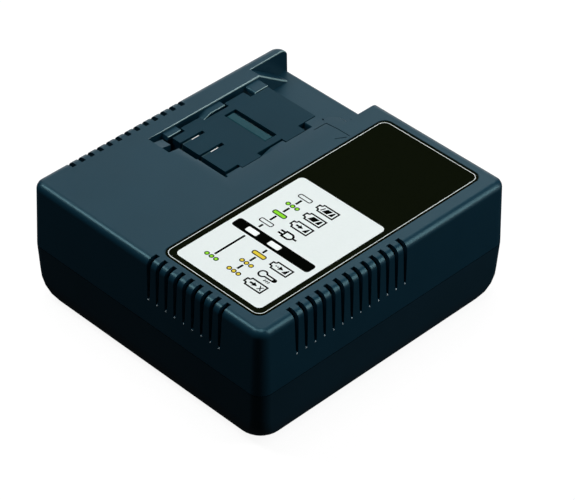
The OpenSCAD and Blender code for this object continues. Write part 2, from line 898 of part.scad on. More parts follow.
blade_tail = 5;
blade_drop = 0.3;
blade_fit = 0.02;
blade_top_z = deck_z - blade_drop;
blade_low_z = bay_z - block_plug_h - blade_tail;

module at_blades() {
    for (s = [-1, 1]) translate([blade_mid_x + s * blade_pitch / 2, blade_y, 0]) children();
}

module blade_pair(grow) {
    at_blades()
        block([-blade_t / 2 - grow, -blade_len / 2 - grow, blade_low_z],
            [blade_t / 2 + grow, blade_len / 2 + grow, blade_top_z]);
}

// Carrier of the blades, with a guide rib in front of each blade
module contact_block() {
    relief_depth = 1;
    relief_in = 2.5;
    rib_front_y = plate_front_y + plate_gap - blade_y;
    color([0.09, 0.1, 0.11])
        difference() {
            union() {
                translate([blade_mid_x, blade_y, bay_z])
                    rounded_bar(block_w, block_d, block_top_z - bay_z, block_r);
                translate([blade_mid_x, blade_y, bay_z - block_plug_h])
                    rounded_bar(block_plug_w, block_plug_d, block_plug_h + past, plug_r);
                at_blades()
                    block([-blade_t / 2, rib_front_y, bay_z],
                        [blade_t / 2, -blade_len / 2 - press_gap, blade_top_z]);
            }
            blade_pair(blade_fit);
            // Relief between the two blades
            translate([blade_mid_x, blade_y, block_top_z - relief_depth])
                rounded_bar(blade_pitch - 2 * relief_in, block_d - 2 * relief_in,
                    relief_depth + past, plug_r);
            for (s = [-1, 1])
                translate([blade_mid_x + s * block_screw_x, blade_y, bay_z - past])
                    cylinder(r = dock_screw_r + press_gap, h = block_top_z - bay_z, $fn = round_fn);
        }
}

module contact_blades() {
    nose = 0.25;
    color(tinned)
        for (s = [-1, 1])
            translate([blade_mid_x + s * blade_pitch / 2, 0, 0])
                along_y(blade_y - blade_len / 2, blade_y + blade_len / 2)
                    polygon([[-blade_t / 2, blade_low_z], [blade_t / 2, blade_low_z],
                        [blade_t / 2, blade_top_z - 2 * nose], [blade_t / 2 - nose, blade_top_z],
                        [nose - blade_t / 2, blade_top_z], [-blade_t / 2, blade_top_z - 2 * nose]]);
}

// Fixed catch that the pack's latch drops behind, on a wider foot
module latch_catch() {
    foot_w = 1.6;
    foot_h = 1.8;
    edge = 0.4;
    rear = catch_y + catch_d;
    color([0.5, 0.53, 0.54])
        difference() {
            union() {
                along_x(catch_x - catch_w / 2, catch_x + catch_w / 2)
                    polygon([[catch_y, bay_z], [catch_y, deck_z - edge], [catch_y + edge, deck_z],
                        [rear - edge, deck_z], [rear, deck_z - edge], [rear, bay_z]]);
                translate([catch_x, catch_y + catch_d / 2, bay_z])
                    rounded_bar(catch_w + 2 * foot_w, catch_d + 2 * foot_w, foot_h, foot_w);
            }
            for (s = [-1, 1])
                translate([catch_x + s * catch_screw_x, catch_y + catch_d / 2, bay_z - past])
                    cylinder(r = dock_screw_r + press_gap, h = past + block_top_z - bay_z,
                        $fn = round_fn);
        }
}

// ------------------------------------------------------- label and lights

module label_film() {
    color([0.08, 0.08, 0.08])
        difference() {
            translate([label_x, label_y, top_z - label_t])
                rounded_bar(label_w, label_d, label_t, label_r);
            at_windows()
                translate([0, 0, top_z - label_t - past])
                    rounded_bar(window_w, window_d, label_t + 2 * past, window_r - label_gap);
        }
}

pipe_gap = 0.1;
pipe_flange = 0.8;
pipe_led_gap = 0.3;
led_pitch = 4.4;
led_w = 3.5;
led_d = 2.8;
led_h = 1.9;
led_lens_r = 1.2;
led_lens_h = 0.6;

module light_pipes() {
    foot_z = led_board_z + led_board_t + led_h + pipe_led_gap;
    color([0.93, 0.94, 0.92])
        at_windows() {
            translate([0, 0, foot_z])
                rounded_bar(window_w - 2 * pipe_gap, window_d - 2 * pipe_gap, top_z - foot_z,
                    window_r - label_gap);
            translate([0, 0, foot_z])
                rounded_bar(window_w + 2 * pipe_flange, window_d + 2 * pipe_flange,
                    inner_top_z - foot_z - 2 * seat_gap, window_r);
        }
}

module indicator_board() {
    color(board_green)
        difference() {
            translate([led_board_x, window_y, led_board_z])
                rounded_bar(led_board_w, led_board_d, led_board_t, led_board_r);
            for (s = [-1, 1])
                translate([led_board_x + s * led_post_x, window_y, led_board_z - past])
                    cylinder(r = led_pin_r + seat_gap, h = led_board_t + 2 * past, $fn = round_fn);
        }
}

module indicator_leds() {
    color([0.9, 0.88, 0.7])
        at_windows()
            translate([0, 0, led_board_z + led_board_t])
                for (s = [-1, 1]) translate([s * led_pitch / 2, 0, 0]) {
                    translate([-led_w / 2, -led_d / 2, 0]) cube([led_w, led_d, led_h - led_lens_h]);
                    translate([0, 0, led_h - led_lens_h - seat_gap])
                        cylinder(r = led_lens_r, h = led_lens_h + seat_gap, $fn = round_fn);
                }
}

cable_w = 10;
cable_t = 1.1;
cable_bend = 4;
cable_in = 2.4;
cable_y = window_y - led_board_d / 2 + cable_in;

// Flat cable from the indicator board down to the main board
module indicator_cable() {
    x0 = led_board_x - cable_w / 2;
    front = cable_y - cable_bend;
    bend_z = led_board_z - cable_bend;
    color([0.8, 0.8, 0.78])
        along_x(x0, x0 + cable_w)
            polygon([[cable_y, led_board_z], [cable_y, bend_z], [front, bend_z - cable_bend],
                [front, board_top_z], [front + cable_t, board_top_z],
                [front + cable_t, bend_z - cable_bend + cable_t / 2],
                [cable_y + cable_t, bend_z + cable_t / 2], [cable_y + cable_t, led_board_z]]);
}

// ------------------------------------------------------------ main board

module main_board() {
    color(board_green)
        difference() {
            translate([board_x, 0, board_z]) rounded_bar(board_w, board_d, board_t, board_corner_r);
            at_board_holes()
                translate([0, 0, board_z - past])
                    cylinder(r = board_screw_r + screw_gap, h = board_t + 2 * past, $fn = round_fn);
        }
}

// Places on the board, measured from the board's middle
transformer_at = [18, 8];
transformer_w = 44;
transformer_d = 36;
transformer_h = 34;
core_lift = 5;
core_leg = 9;
core_t = 15;
core_mid_r = 6.5;
winding_gap = 0.6;
winding_in = 1.5;
cheek_t = 1.2;
bobbin_in = 6;
bobbin_lift = 1;
bobbin_top = 6;
bobbin_link_w = 10;
bobbin_link_t = 2;
bobbin_pin_pitch = 6;
bobbin_pin_in = 3;
// Pins of the pieces that stand on the board
pin_r = 0.6;
pin_h = 1.4;

module at_board(p) {
    translate([board_x + p[0], p[1], board_top_z]) children();
}

// Two E halves: outer legs, yokes and a round middle leg
module transformer_core() {
    color(ferrite)
        at_board(transformer_at)
            translate([0, 0, core_lift]) {
                difference() {
                    translate([-transformer_w / 2, -core_t / 2, 0])
                        cube([transformer_w, core_t, transformer_h - core_lift]);
                    translate([-transformer_w / 2 + core_leg, -core_t / 2 - past, core_leg])
                        cube([transformer_w - 2 * core_leg, core_t + 2 * past,
                            transformer_h - core_lift - 2 * core_leg]);
                }
                translate([0, 0, core_leg / 2])
                    cylinder(r = core_mid_r, h = transformer_h - core_lift - core_leg, $fn = round_fn);
            }
}

module transformer_winding() {
    low = core_lift + core_leg + winding_gap;
    high = transformer_h - core_leg - winding_gap;
    r_in = core_mid_r + winding_gap;
    r_out = transformer_w / 2 - core_leg - winding_gap;
    foot_low_y = core_t / 2 + winding_gap;
    color([0.86, 0.72, 0.35])
        at_board(transformer_at) {
            rotate_extrude($fn = round_fn)
                polygon([[r_in, low], [r_out, low], [r_out, low + cheek_t],
                    [r_out - winding_in, low + cheek_t], [r_out - winding_in, high - cheek_t],
                    [r_out, high - cheek_t], [r_out, high], [r_in, high]]);
            // Bobbin feet with their pins, in front of and behind the core
            for (a = [0, 180])
                rotate([0, 0, a]) {
                    block([-transformer_w / 2 + bobbin_in, foot_low_y, bobbin_lift],
                        [transformer_w / 2 - bobbin_in, transformer_d / 2, bobbin_top]);
                    block([-bobbin_link_w / 2, foot_low_y, bobbin_top - past],
                        [bobbin_link_w / 2, foot_low_y + bobbin_link_t, low + cheek_t]);
                    for (k = [-2 : 2])
                        translate([k * bobbin_pin_pitch, transformer_d / 2 - bobbin_pin_in, 0])
                            cylinder(r = pin_r, h = pin_h, $fn = round_fn);
                }
        }
}

can_rim = 0.9;
can_lift = 0.4;
can_neck_z = 3.2;
can_neck_r = 1;
can_neck_depth = 0.5;
can_bung_in = 1.2;
can_bung_h = 1;
vent_share = 0.6;
vent_w = 0.4;
vent_depth = 0.3;

// A radial capacitor: can, rolled neck, rounded rim, vent cross and bung
module can_capacitor(r, h) {
    rotate_extrude($fn = round_fn)
        union() {
            difference() {
                translate([0, can_lift]) square([r, h - can_lift - can_rim]);
                translate([r + can_neck_r - can_neck_depth, can_neck_z])
                    circle(r = can_neck_r, $fn = round_fn);
            }
            translate([0, can_lift]) square([r - can_rim, h - can_lift]);
            intersection() {
                translate([r - can_rim, h - can_rim]) circle(r = can_rim, $fn = round_fn);
                translate([0, h - 2 * can_rim]) square([r, 2 * can_rim]);
            }
            square([r - can_bung_in, can_bung_h]);
        }
}

module vented_capacitor(r, h) {
    difference() {
        can_capacitor(r, h);
        for (a = [0, 90])
            rotate([0, 0, a])
                block([-r * vent_share, -vent_w / 2, h - vent_depth],
                    [r * vent_share, vent_w / 2, h + past]);
    }
}

bulk_at = [46, -30];
bulk_r = 12.5;
bulk_h = 42;

module bulk_capacitor() {
    color([0.16, 0.2, 0.36]) at_board(bulk_at) vented_capacitor(bulk_r, bulk_h);
}

output_cap_at = [-46, 10];
output_cap_r = 6.2;
output_cap_h = 25;
output_cap_pitch = 14.5;

module output_capacitors() {
    color([0.18, 0.18, 0.2])
        for (i = [-1 : 1])
            at_board([output_cap_at[0], output_cap_at[1] + i * output_cap_pitch])
                vented_capacitor(output_cap_r, output_cap_h);
}

choke_at = [44, 44];
choke_ring_r = 10;
choke_core_r = 3.6;
choke_wire_r = 5;
choke_lift = 1;
choke_span = 110;

// Middle of the upright ring core
module at_choke() {
    at_board(choke_at)
        translate([0, 0, choke_ring_r + choke_wire_r + choke_lift]) rotate([90, 0, 0]) children();
}

module line_choke() {
    color(ferrite)
        at_choke()
            rotate_extrude($fn = round_fn)
                translate([choke_ring_r, 0]) circle(r = choke_core_r, $fn = round_fn);
}

module choke_winding() {
    color(copper)
        at_choke()
            for (side = [0, 180])
                rotate([0, 0, side + 90 - choke_span / 2])
                    rotate_extrude(angle = choke_span, $fn = round_fn)
                        translate([choke_ring_r, 0])
                            difference() {
                                circle(r = choke_wire_r, $fn = round_fn);
                                circle(r = choke_core_r + press_gap, $fn = round_fn);
                            }
}

filter_at = [10, 50];
filter_w = 26;
filter_d = 10;
filter_h = 18;
filter_r = 1;
filter_lift = 0.5;
filter_pin_in = 3;

module filter_capacitor() {
    color([0.85, 0.75, 0.2])
        at_board(filter_at) {
            translate([0, 0, filter_lift]) rounded_bar(filter_w, filter_d, filter_h, filter_r);
            for (s = [-1, 1])
                translate([s * (filter_w / 2 - filter_pin_in), 0, 0])
                    cylinder(r = pin_r, h = pin_h, $fn = round_fn);
        }
}

fuse_at = [20, 64];
fuse_r = 2.6;
fuse_len = 20;
fuse_z = 6;
fuse_cap = 5;
fuse_step = 0.2;
clip_w = 4;
clip_in = 2.5;
clip_t = 0.7;
clip_rise = 1.6;
clip_lip = 0.4;
clip_base_t = 0.8;
clip_seat_t = 0.6;

module mains_fuse() {
    color([0.85, 0.88, 0.88])
        at_board(fuse_at)
            translate([-fuse_len / 2, 0, fuse_z])
                rotate([0, 90, 0]) {
                    cylinder(r = fuse_r - fuse_step, h = fuse_len, $fn = round_fn);
                    cylinder(r = fuse_r, h = fuse_cap, $fn = round_fn);
                    translate([0, 0, fuse_len - fuse_cap])
                        cylinder(r = fuse_r, h = fuse_cap, $fn = round_fn);
                }
}

module fuse_clips() {
    half = fuse_r + clip_t;
    color(tinned)
        for (s = [-1, 1])
            at_board([fuse_at[0] + s * (fuse_len / 2 - clip_in), fuse_at[1]])
                difference() {
                    block([-clip_w / 2, -half, 0], [clip_w / 2, half, fuse_z + clip_rise]);
                    translate([-clip_w, 0, fuse_z])
                        rotate([0, 90, 0])
                            cylinder(r = fuse_r + blade_fit, h = 2 * clip_w, $fn = round_fn);
                    block([-clip_w, clip_lip - fuse_r, fuse_z],
                        [clip_w, fuse_r - clip_lip, fuse_z + clip_rise + past]);
                    block([-clip_w, -fuse_r, clip_base_t],
                        [clip_w, fuse_r, fuse_z - fuse_r - clip_seat_t]);
                }
}

heatsink_h = 30;
heatsink_back = 2.4;
fin_t = 1.2;
fin_pitch = 4.9;
fin_lift = 2;

// Extruded heat sink: a back plate with a row of fins
module heatsink(fins, fin_len) {
    len = (fins - 1) * fin_pitch + fin_t;
    translate([-len / 2, 0, 0]) cube([len, heatsink_back, heatsink_h]);
    for (i = [0 : fins - 1])
        translate([-len / 2 + i * fin_pitch, heatsink_back - seat_gap, fin_lift])
            cube([fin_t, fin_len + seat_gap, heatsink_h - fin_lift]);
}

primary_sink_at = [14, -38];
primary_fins = 7;
primary_fin_len = 9;
output_sink_at = [-26, 8];
output_fins = 9;
output_fin_len = 8;

module primary_heatsink() {
    color([0.7, 0.71, 0.73])
        at_board(primary_sink_at) heatsink(primary_fins, primary_fin_len);
}

module output_heatsink() {
    color([0.7, 0.71, 0.73])
        at_board(output_sink_at) rotate([0, 0, -90]) heatsink(output_fins, output_fin_len);
}

device_w = 10.2;
device_h = 15.5;
device_t = 4.5;
device_body_h = 9.2;
device_tab_t = 1.3;
device_lift = 4;
device_pin_pitch = 2.54;
device_pin_w = 0.8;
device_pin_t = 0.5;
device_pin_y = -3.2;
device_screw_z = 16.6;
device_screw_r = 2.6;
device_screw_h = 1;
primary_device_x = 8;
output_device_x = 9;

// A tab-mounted power device standing on its leads, with its back at y = 0
module power_device() {
    translate([-device_w / 2, -device_tab_t - seat_gap, device_lift])
        cube([device_w, device_tab_t, device_h]);
    translate([-device_w / 2, -device_t - seat_gap, device_lift])
        cube([device_w, device_t - device_tab_t + seat_gap, device_body_h]);
    for (k = [-1 : 1])
        translate([k * device_pin_pitch - device_pin_w / 2, device_pin_y, seat_gap])
            cube([device_pin_w, device_pin_t, device_lift + 2 * seat_gap]);
    translate([0, -device_tab_t, device_screw_z])
        rotate([90, 0, 0])
            cylinder(r = device_screw_r, h = seat_gap + device_screw_h, $fn = round_fn);
}

module power_transistor() {
    color([0.12, 0.12, 0.13])
        for (s = [-1, 1])
            at_board([primary_sink_at[0] + s * primary_device_x, primary_sink_at[1] - seat_gap])
                power_device();
}

module output_diode() {
    color([0.12, 0.12, 0.13])
        for (s = [-1, 1])
            at_board([output_sink_at[0] - seat_gap, output_sink_at[1] + s * output_device_x])
                rotate([0, 0, -90]) power_device();
}

chip_at = [-30, -42];
chip_size = [17, 7, 2.2];
chip_lift = 0.6;
chip_pin_pitch = 1.45;
chip_pin_w = 0.5;
chip_pin_len = 1.8;
chip_pin_out = 1.6;
chip_pin_h = 1.2;

module control_chip() {
    pin_y = chip_size[1] / 2 + chip_pin_out - chip_pin_len / 2;
    color([0.1, 0.1, 0.11])
        at_board(chip_at) {
            translate([-chip_size[0] / 2, -chip_size[1] / 2, chip_lift]) cube(chip_size);
            for (s = [-1, 1], i = [-5 : 5])
                translate([i * chip_pin_pitch - chip_pin_w / 2, s * pin_y - chip_pin_len / 2, 0])
                    cube([chip_pin_w, chip_pin_len, chip_pin_h]);
        }
}

relay_at = [-48, -42];
relay_size = [13, 20, 16];
relay_r = 0.8;
relay_lift = 0.4;
relay_pin_in = 3;

module output_relay() {
    color([0.2, 0.35, 0.6])
        at_board(relay_at) {
            translate([0, 0, relay_lift])
                rounded_bar(relay_size[0], relay_size[1], relay_size[2], relay_r);
            for (s = [-1, 1], t = [-1, 1])
                translate([s * (relay_size[0] / 2 - relay_pin_in), t * (relay_size[1] / 2 - relay_pin_in), 0])
                    cylinder(r = pin_r, h = pin_h, $fn = round_fn);
        }
}

terminal_at = [48, 62];
terminal_pole = 7.5;
terminal_d = 9;
terminal_h = 11;
terminal_wire_z = 5;
terminal_wire_r = 1.7;
terminal_screw_r = 1.8;

// Screw terminal that the mains cord's cores end in
module mains_terminal() {
    color([0.15, 0.4, 0.25])
        at_board(terminal_at)
            difference() {
                translate([-terminal_pole, -terminal_d / 2, 0])
                    cube([2 * terminal_pole, terminal_d, terminal_h]);
                for (s = [-1, 1])
                    translate([s * terminal_pole / 2, 0, terminal_wire_z]) {
                        rotate([-90, 0, 0])
                            cylinder(r = terminal_wire_r, h = terminal_d, $fn = round_fn);
                        cylinder(r = terminal_screw_r, h = terminal_h, $fn = round_fn);
                    }
            }
}

lead_r = 1.3;
lead_bend = 6;
lead_run = 8;
sleeve_r = 3.4;
sleeve_grip = 4;
sleeve_tail = 3;

// Insulated leads from the blades' tails to the board
module contact_leads() {
    drop_z = blade_low_z - sleeve_tail;
    rear = lead_bend + lead_run;
    color([0.7, 0.12, 0.1])
        at_blades() {
            // Crimped sleeve on the tail
            difference() {
                translate([0, 0, drop_z])
                    cylinder(r = sleeve_r, h = sleeve_tail + sleeve_grip, $fn = round_fn);
                block([-blade_t / 2 - press_gap, -blade_len / 2 - press_gap, blade_low_z - press_gap],
                    [blade_t / 2 + press_gap, blade_len / 2 + press_gap, blade_low_z + sleeve_grip + past]);
            }
            // Lead bends towards the front, then drops to the board
            translate([0, -lead_bend, drop_z])
                rotate([90, 0, 90])
                    rotate_extrude(angle = -90, $fn = round_fn)
                        translate([lead_bend, 0]) circle(r = lead_r, $fn = round_fn);
            translate([0, -lead_bend, drop_z - lead_bend])
                rotate([90, 0, 0]) cylinder(r = lead_r, h = lead_run, $fn = round_fn);
            translate([0, -rear, drop_z - 2 * lead_bend])
                rotate([90, 0, -90])
                    rotate_extrude(angle = 90, $fn = round_fn)
                        translate([lead_bend, 0]) circle(r = lead_r, $fn = round_fn);
            translate([0, -rear - lead_bend, board_top_z])
                cylinder(r = lead_r, h = drop_z - 2 * lead_bend - board_top_z, $fn = round_fn);
        }
}

// -------------------------------------------------------- fasteners, feet

screw_tip_r = 0.3;
screw_head_taper = 0.6;
drive_w = 0.9;
drive_share = 0.62;
case_head_h = 2.6;
board_head_r = 2.8;
board_head_h = 2;
dock_head_r = 2.2;
dock_head_h = 1.6;
screw_spare = 0.4;

// Pan-head screw pointing up, its seat at z = 0
module pan_screw(r, head_r, head_h, len) {
    difference() {
        union() {
            cylinder(r = r, h = len - r, $fn = round_fn);
            translate([0, 0, len - r]) cylinder(r1 = r, r2 = screw_tip_r, h = r, $fn = round_fn);
            translate([0, 0, -head_h])
                cylinder(r1 = head_r - screw_head_taper, r2 = head_r, h = head_h, $fn = round_fn);
        }
        for (a = [0, 90])
            rotate([0, 0, a])
                block([-head_r * drive_share, -drive_w / 2, -head_h - past],
                    [head_r * drive_share, drive_w / 2, -head_h * (1 - drive_share)]);
    }
}

module case_screws() {
    color(tinned)
        four_places(screw_x, screw_y)
            translate([0, 0, screw_seat_z])
                pan_screw(screw_r, screw_head_r, case_head_h, screw_len);
}

module board_screws() {
    color(tinned)
        at_board_holes()
            translate([0, 0, board_top_z])
                mirror([0, 0, 1])
                    pan_screw(board_screw_r, board_head_r, board_head_h,
                        board_t + board_pilot - screw_spare);
}

module dock_screws() {
    color(tinned)
        at_dock_screws()
            translate([0, 0, bay_z - wall])
                pan_screw(dock_screw_r, dock_head_r, dock_head_h,
                    wall + block_top_z - bay_z - past - 2 * seat_gap);
}

foot_edge = 0.6;

// Rubber foot with a domed edge
module rubber_feet() {
    edge = min(foot_proud, foot_edge);
    color([0.1, 0.1, 0.1])
        four_places(foot_x, foot_y) {
            translate([0, 0, edge])
                cylinder(r = foot_r, h = foot_proud + foot_recess - edge, $fn = round_fn);
            cylinder(r1 = foot_r - edge, r2 = foot_r, h = edge, $fn = round_fn);
        }
}

// Flanged rubber gland in the rear wall, with the bore for the cord
module cord_gland() {
    inner_flange_y = half_d - wall - tongue_gap - tongue_t - seat_gap;
    color([0.09, 0.09, 0.1])
        translate([inlet_x, 0, inlet_z])
            rotate([90, 0, 0])
                difference() {
                    union() {
                        translate([0, 0, -gland_seat_y - gland_flange_t])
                            cylinder(r1 = gland_flange_r - gland_edge, r2 = gland_flange_r,
                                h = gland_flange_t, $fn = round_fn);
                        translate([0, 0, -gland_seat_y])
                            cylinder(r = gland_r, h = gland_len + wall, $fn = round_fn);
                        translate([0, 0, -inner_flange_y])
                            cylinder(r = gland_flange_r, h = gland_inner_t, $fn = round_fn);
                    }
                    translate([0, 0, -gland_seat_y - gland_flange_t - past])
                        cylinder(r = inlet_r, h = gland_len + wall + gland_flange_t + 2 * past,
                            $fn = round_fn);
                }
}

upper_case();
lower_case();
dock_plate();
plate_springs();
contact_block();
contact_blades();
latch_catch();
label_film();
light_pipes();
indicator_board();
indicator_leds();
indicator_cable();
main_board();
transformer_core();
transformer_winding();
bulk_capacitor();
output_capacitors();
line_choke();
choke_winding();
filter_capacitor();
mains_fuse();
fuse_clips();
primary_heatsink();
output_heatsink();
power_transistor();
output_diode();
control_chip();
output_relay();
mains_terminal();
contact_leads();
board_screws();
case_screws();
dock_screws();
rubber_feet();
cord_gland();
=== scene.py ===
import math

import bmesh
import bpy
from mathutils import Matrix, Vector


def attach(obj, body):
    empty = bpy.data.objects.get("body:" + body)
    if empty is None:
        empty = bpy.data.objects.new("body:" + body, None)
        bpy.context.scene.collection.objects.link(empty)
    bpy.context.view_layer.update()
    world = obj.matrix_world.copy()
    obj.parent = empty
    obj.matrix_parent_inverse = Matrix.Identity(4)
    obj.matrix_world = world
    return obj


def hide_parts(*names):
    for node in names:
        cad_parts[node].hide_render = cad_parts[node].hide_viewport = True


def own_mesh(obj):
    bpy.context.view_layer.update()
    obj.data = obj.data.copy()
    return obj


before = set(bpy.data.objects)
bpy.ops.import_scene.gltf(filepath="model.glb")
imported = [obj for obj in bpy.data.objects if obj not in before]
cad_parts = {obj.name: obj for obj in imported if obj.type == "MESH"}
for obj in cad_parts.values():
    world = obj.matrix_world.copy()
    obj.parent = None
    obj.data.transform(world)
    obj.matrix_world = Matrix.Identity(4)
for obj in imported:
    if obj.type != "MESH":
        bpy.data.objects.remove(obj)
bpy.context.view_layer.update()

MM = 0.001

# ---------------------------------------------------------------- the view

# The camera stands at the front right corner and looks down on the case
CAMERA_AZIMUTH = math.radians(44.68)
CAMERA_ELEVATION = math.radians(39.39)
CAMERA_ROLL = math.radians(0.95)
CAMERA_DISTANCE = 1.508
CAMERA_AIM_RIGHT = 0.01028
CAMERA_AIM_UP = 0.02196
# The view was fitted from the base of the case, which the feet lift by this
FOOT_HEIGHT = 0.001
LENS_MM = 173.3
SENSOR_MM = 36.0


def add_camera():
    """The view of the photograph, with a long lens and a slight roll."""
    az, el = CAMERA_AZIMUTH, CAMERA_ELEVATION
    back = Vector((math.sin(az) * math.cos(el), -math.cos(az) * math.cos(el), math.sin(el)))
    level_right = Vector((math.cos(az), math.sin(az), 0.0))
    level_up = back.cross(level_right)
    c, s = math.cos(CAMERA_ROLL), math.sin(CAMERA_ROLL)
    right = c * level_right + s * level_up
    up = c * level_up - s * level_right
    place = CAMERA_AIM_RIGHT * right + CAMERA_AIM_UP * up + CAMERA_DISTANCE * back
    place.z += FOOT_HEIGHT
    data = bpy.data.cameras.new("view_camera")
    data.lens = LENS_MM
    data.sensor_width = SENSOR_MM
    camera = bpy.data.objects.new("view_camera", data)
    turn = Matrix((right, up, back)).transposed().to_4x4()
    camera.matrix_world = Matrix.Translation(place) @ turn
    bpy.context.scene.collection.objects.link(camera)
    bpy.context.scene.camera = camera


# ------------------------------------------------------------ small helpers

# Edges that turn more than this are rounded, and the others are shaded smooth
HARD_ANGLE = math.radians(32)
# Points nearer than this are one point, and faces that turn less are one face
WELD_DISTANCE = 2e-6
FLAT_ANGLE = math.radians(0.3)
NORMAL_WEIGHT = 60


def only(obj):
    """Make obj the one selected and active object."""
    if bpy.context.mode != "OBJECT":
        bpy.ops.object.mode_set(mode="OBJECT")
    bpy.ops.object.select_all(action="DESELECT")
    obj.select_set(True)
    bpy.context.view_layer.objects.active = obj


def edit(obj):
    """Open obj for editing, with all of it selected."""
    only(obj)
    bpy.ops.object.mode_set(mode="EDIT")
    bpy.ops.mesh.select_all(action="SELECT")


def leave_edit():
    bpy.ops.object.mode_set(mode="OBJECT")


def settle(obj):
    """Put the object's place, turn and size into its mesh."""
    only(obj)
    bpy.ops.object.transform_apply(location=True, rotation=True, scale=True)


def join(name, parts):
    """Join the parts into one object with that name."""
    bpy.ops.object.select_all(action="DESELECT")
    for part in parts:
        part.select_set(True)
    bpy.context.view_layer.objects.active = parts[0]
    if len(parts) > 1:
        bpy.ops.object.join()
    parts[0].name = name
    return parts[0]


def apply_modifier(obj, kind, **settings):
    """Add a modifier of that kind with those settings, and apply it at once."""
    only(obj)
    mod = obj.modifiers.new(kind.lower(), kind)
    for key, value in settings.items():
        setattr(mod, key, value)
    bpy.ops.object.modifier_apply(modifier=mod.name)


def finish_edges(obj, width):
    """Round the hard edges a little, and shade the rest smooth."""
    apply_modifier(obj, "BEVEL", width=width, segments=2, limit_method="ANGLE",
                   angle_limit=HARD_ANGLE, use_clamp_overlap=True, harden_normals=False)
    only(obj)
    bpy.ops.object.shade_smooth_by_angle(angle=HARD_ANGLE)
    apply_modifier(obj, "WEIGHTED_NORMAL", keep_sharp=True, weight=NORMAL_WEIGHT)


def dress(obj, materials, body, slot, *nodes):
    """Give the piece its materials and its body, and hide the nodes it stands for; its slot is
    not used.
    """
    materials = materials if isinstance(materials, list) else [materials]
    slots = obj.data.materials
    while len(slots) < len(materials):
        slots.append(None)
    for i, material in enumerate(materials):
        slots[i] = material
    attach(obj, body)
    if nodes:
        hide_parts(*nodes)


def moulded_copy(node, name):
    """A welded copy of a node, with its flat faces whole again."""
    obj = bpy.data.objects.new(name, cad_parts[node].data.copy())
    bpy.context.scene.collection.objects.link(obj)
    edit(obj)
    bpy.ops.mesh.remove_doubles(threshold=WELD_DISTANCE)
    bpy.ops.mesh.dissolve_limited(angle_limit=FLAT_ANGLE, use_dissolve_boundaries=False)
    leave_edit()
    return obj



# --------------------------------------------------------------- materials


class Recipe:
    """A node material that is built up one layer at a time."""

    def __init__(self, name, roughness=0.5, metallic=0.0, specular=0.5, **sockets):
        self.material = bpy.data.materials.new(name)
        self.material.use_nodes = True
        self.tree = self.material.node_tree
        self.shader = self.tree.nodes["Principled BSDF"]
        self.shader.inputs["Roughness"].default_value = roughness
        self.shader.inputs["Metallic"].default_value = metallic
        self.shader.inputs["Specular IOR Level"].default_value = specular
        for key, value in sockets.items():
            self.shader.inputs[key.replace("_", " ")].default_value = value
        self.place = self.tree.nodes.new("ShaderNodeTexCoord").outputs["Object"]
        self.height = None

    def link(self, a, b):
        self.tree.links.new(a, b)

    def noise(self, size, detail=2.0, rough=0.5, stretch=None):
        """Noise whose features are about size metres across."""
        node = self.tree.nodes.new("ShaderNodeTexNoise")
        node.inputs["Scale"].default_value = 1.0 / size
        node.inputs["Detail"].default_value = detail
        node.inputs["Roughness"].default_value = rough
        source = self.place
        if stretch:
            mapping = self.tree.nodes.new("ShaderNodeMapping")
            mapping.inputs["Scale"].default_value = stretch
            self.link(source, mapping.inputs["Vector"])
            source = mapping.outputs["Vector"]
        self.link(source, node.inputs["Vector"])
        return node.outputs["Fac"]

    def ramp(self, value, low, high, at_low=0.3, at_high=0.7):
        """The value, spread from low to high."""
        node = self.tree.nodes.new("ShaderNodeMapRange")
        node.inputs["From Min"].default_value = at_low
        node.inputs["From Max"].default_value = at_high
        node.inputs["To Min"].default_value = low
        node.inputs["To Max"].default_value = high
        self.link(value, node.inputs["Value"])
        return node.outputs["Result"]

    def colours(self, value, first, second, at_low=0.3, at_high=0.7):
        """Base colour that goes from first to second with the value."""
        node = self.tree.nodes.new("ShaderNodeValToRGB")
        node.color_ramp.elements[0].position = at_low
        node.color_ramp.elements[0].color = (*first, 1.0)
        node.color_ramp.elements[1].position = at_high
        node.color_ramp.elements[1].color = (*second, 1.0)
        self.link(value, node.inputs["Fac"])
        self.link(node.outputs["Color"], self.shader.inputs["Base Color"])
        return self

    def uneven_gloss(self, value, low, high):
        """Roughness that goes from low to high with the value."""
        self.link(self.ramp(value, low, high), self.shader.inputs["Roughness"])
        return self

    def bump(self, value, depth, strength=1.0):
        """Relief of that depth in metres, on top of the relief there is already."""
        node = self.tree.nodes.new("ShaderNodeBump")
        node.inputs["Distance"].default_value = depth
        node.inputs["Strength"].default_value = strength
        self.link(value, node.inputs["Height"])
        if self.height:
            self.link(self.height, node.inputs["Normal"])
        self.height = node.outputs["Normal"]
        self.link(self.height, self.shader.inputs["Normal"])
        return self


CLOUD_SIZE = 0.03
GLOSS_SIZE = 0.012
GRAIN_SIZE = 0.0008
FINE_GRAIN_SIZE = 0.00035


def moulded(name, dark, light, low=0.38, high=0.42, grain=0.00004, specular=0.5, **sockets):
    """Moulded plastic with a fine spark-eroded grain and a faint cloudiness.

    dark and light are its two tones, low and high its roughness, and grain
    is the depth of the grain in metres."""
    recipe = Recipe(name, specular=specular, **sockets)
    recipe.colours(recipe.noise(CLOUD_SIZE, detail=3.0), dark, light)
    recipe.uneven_gloss(recipe.noise(GLOSS_SIZE, detail=2.0), low, high)
    recipe.bump(recipe.noise(GRAIN_SIZE, detail=2.0), grain, 0.5)
    recipe.bump(recipe.noise(FINE_GRAIN_SIZE, detail=1.0), grain * 0.4, 0.4)
    return recipe.material


STREAK_SIZE = 0.004
SHEEN_SIZE = 0.002
SCRATCH_SIZE = 0.0006
SCRATCH_DEPTH = 0.00002


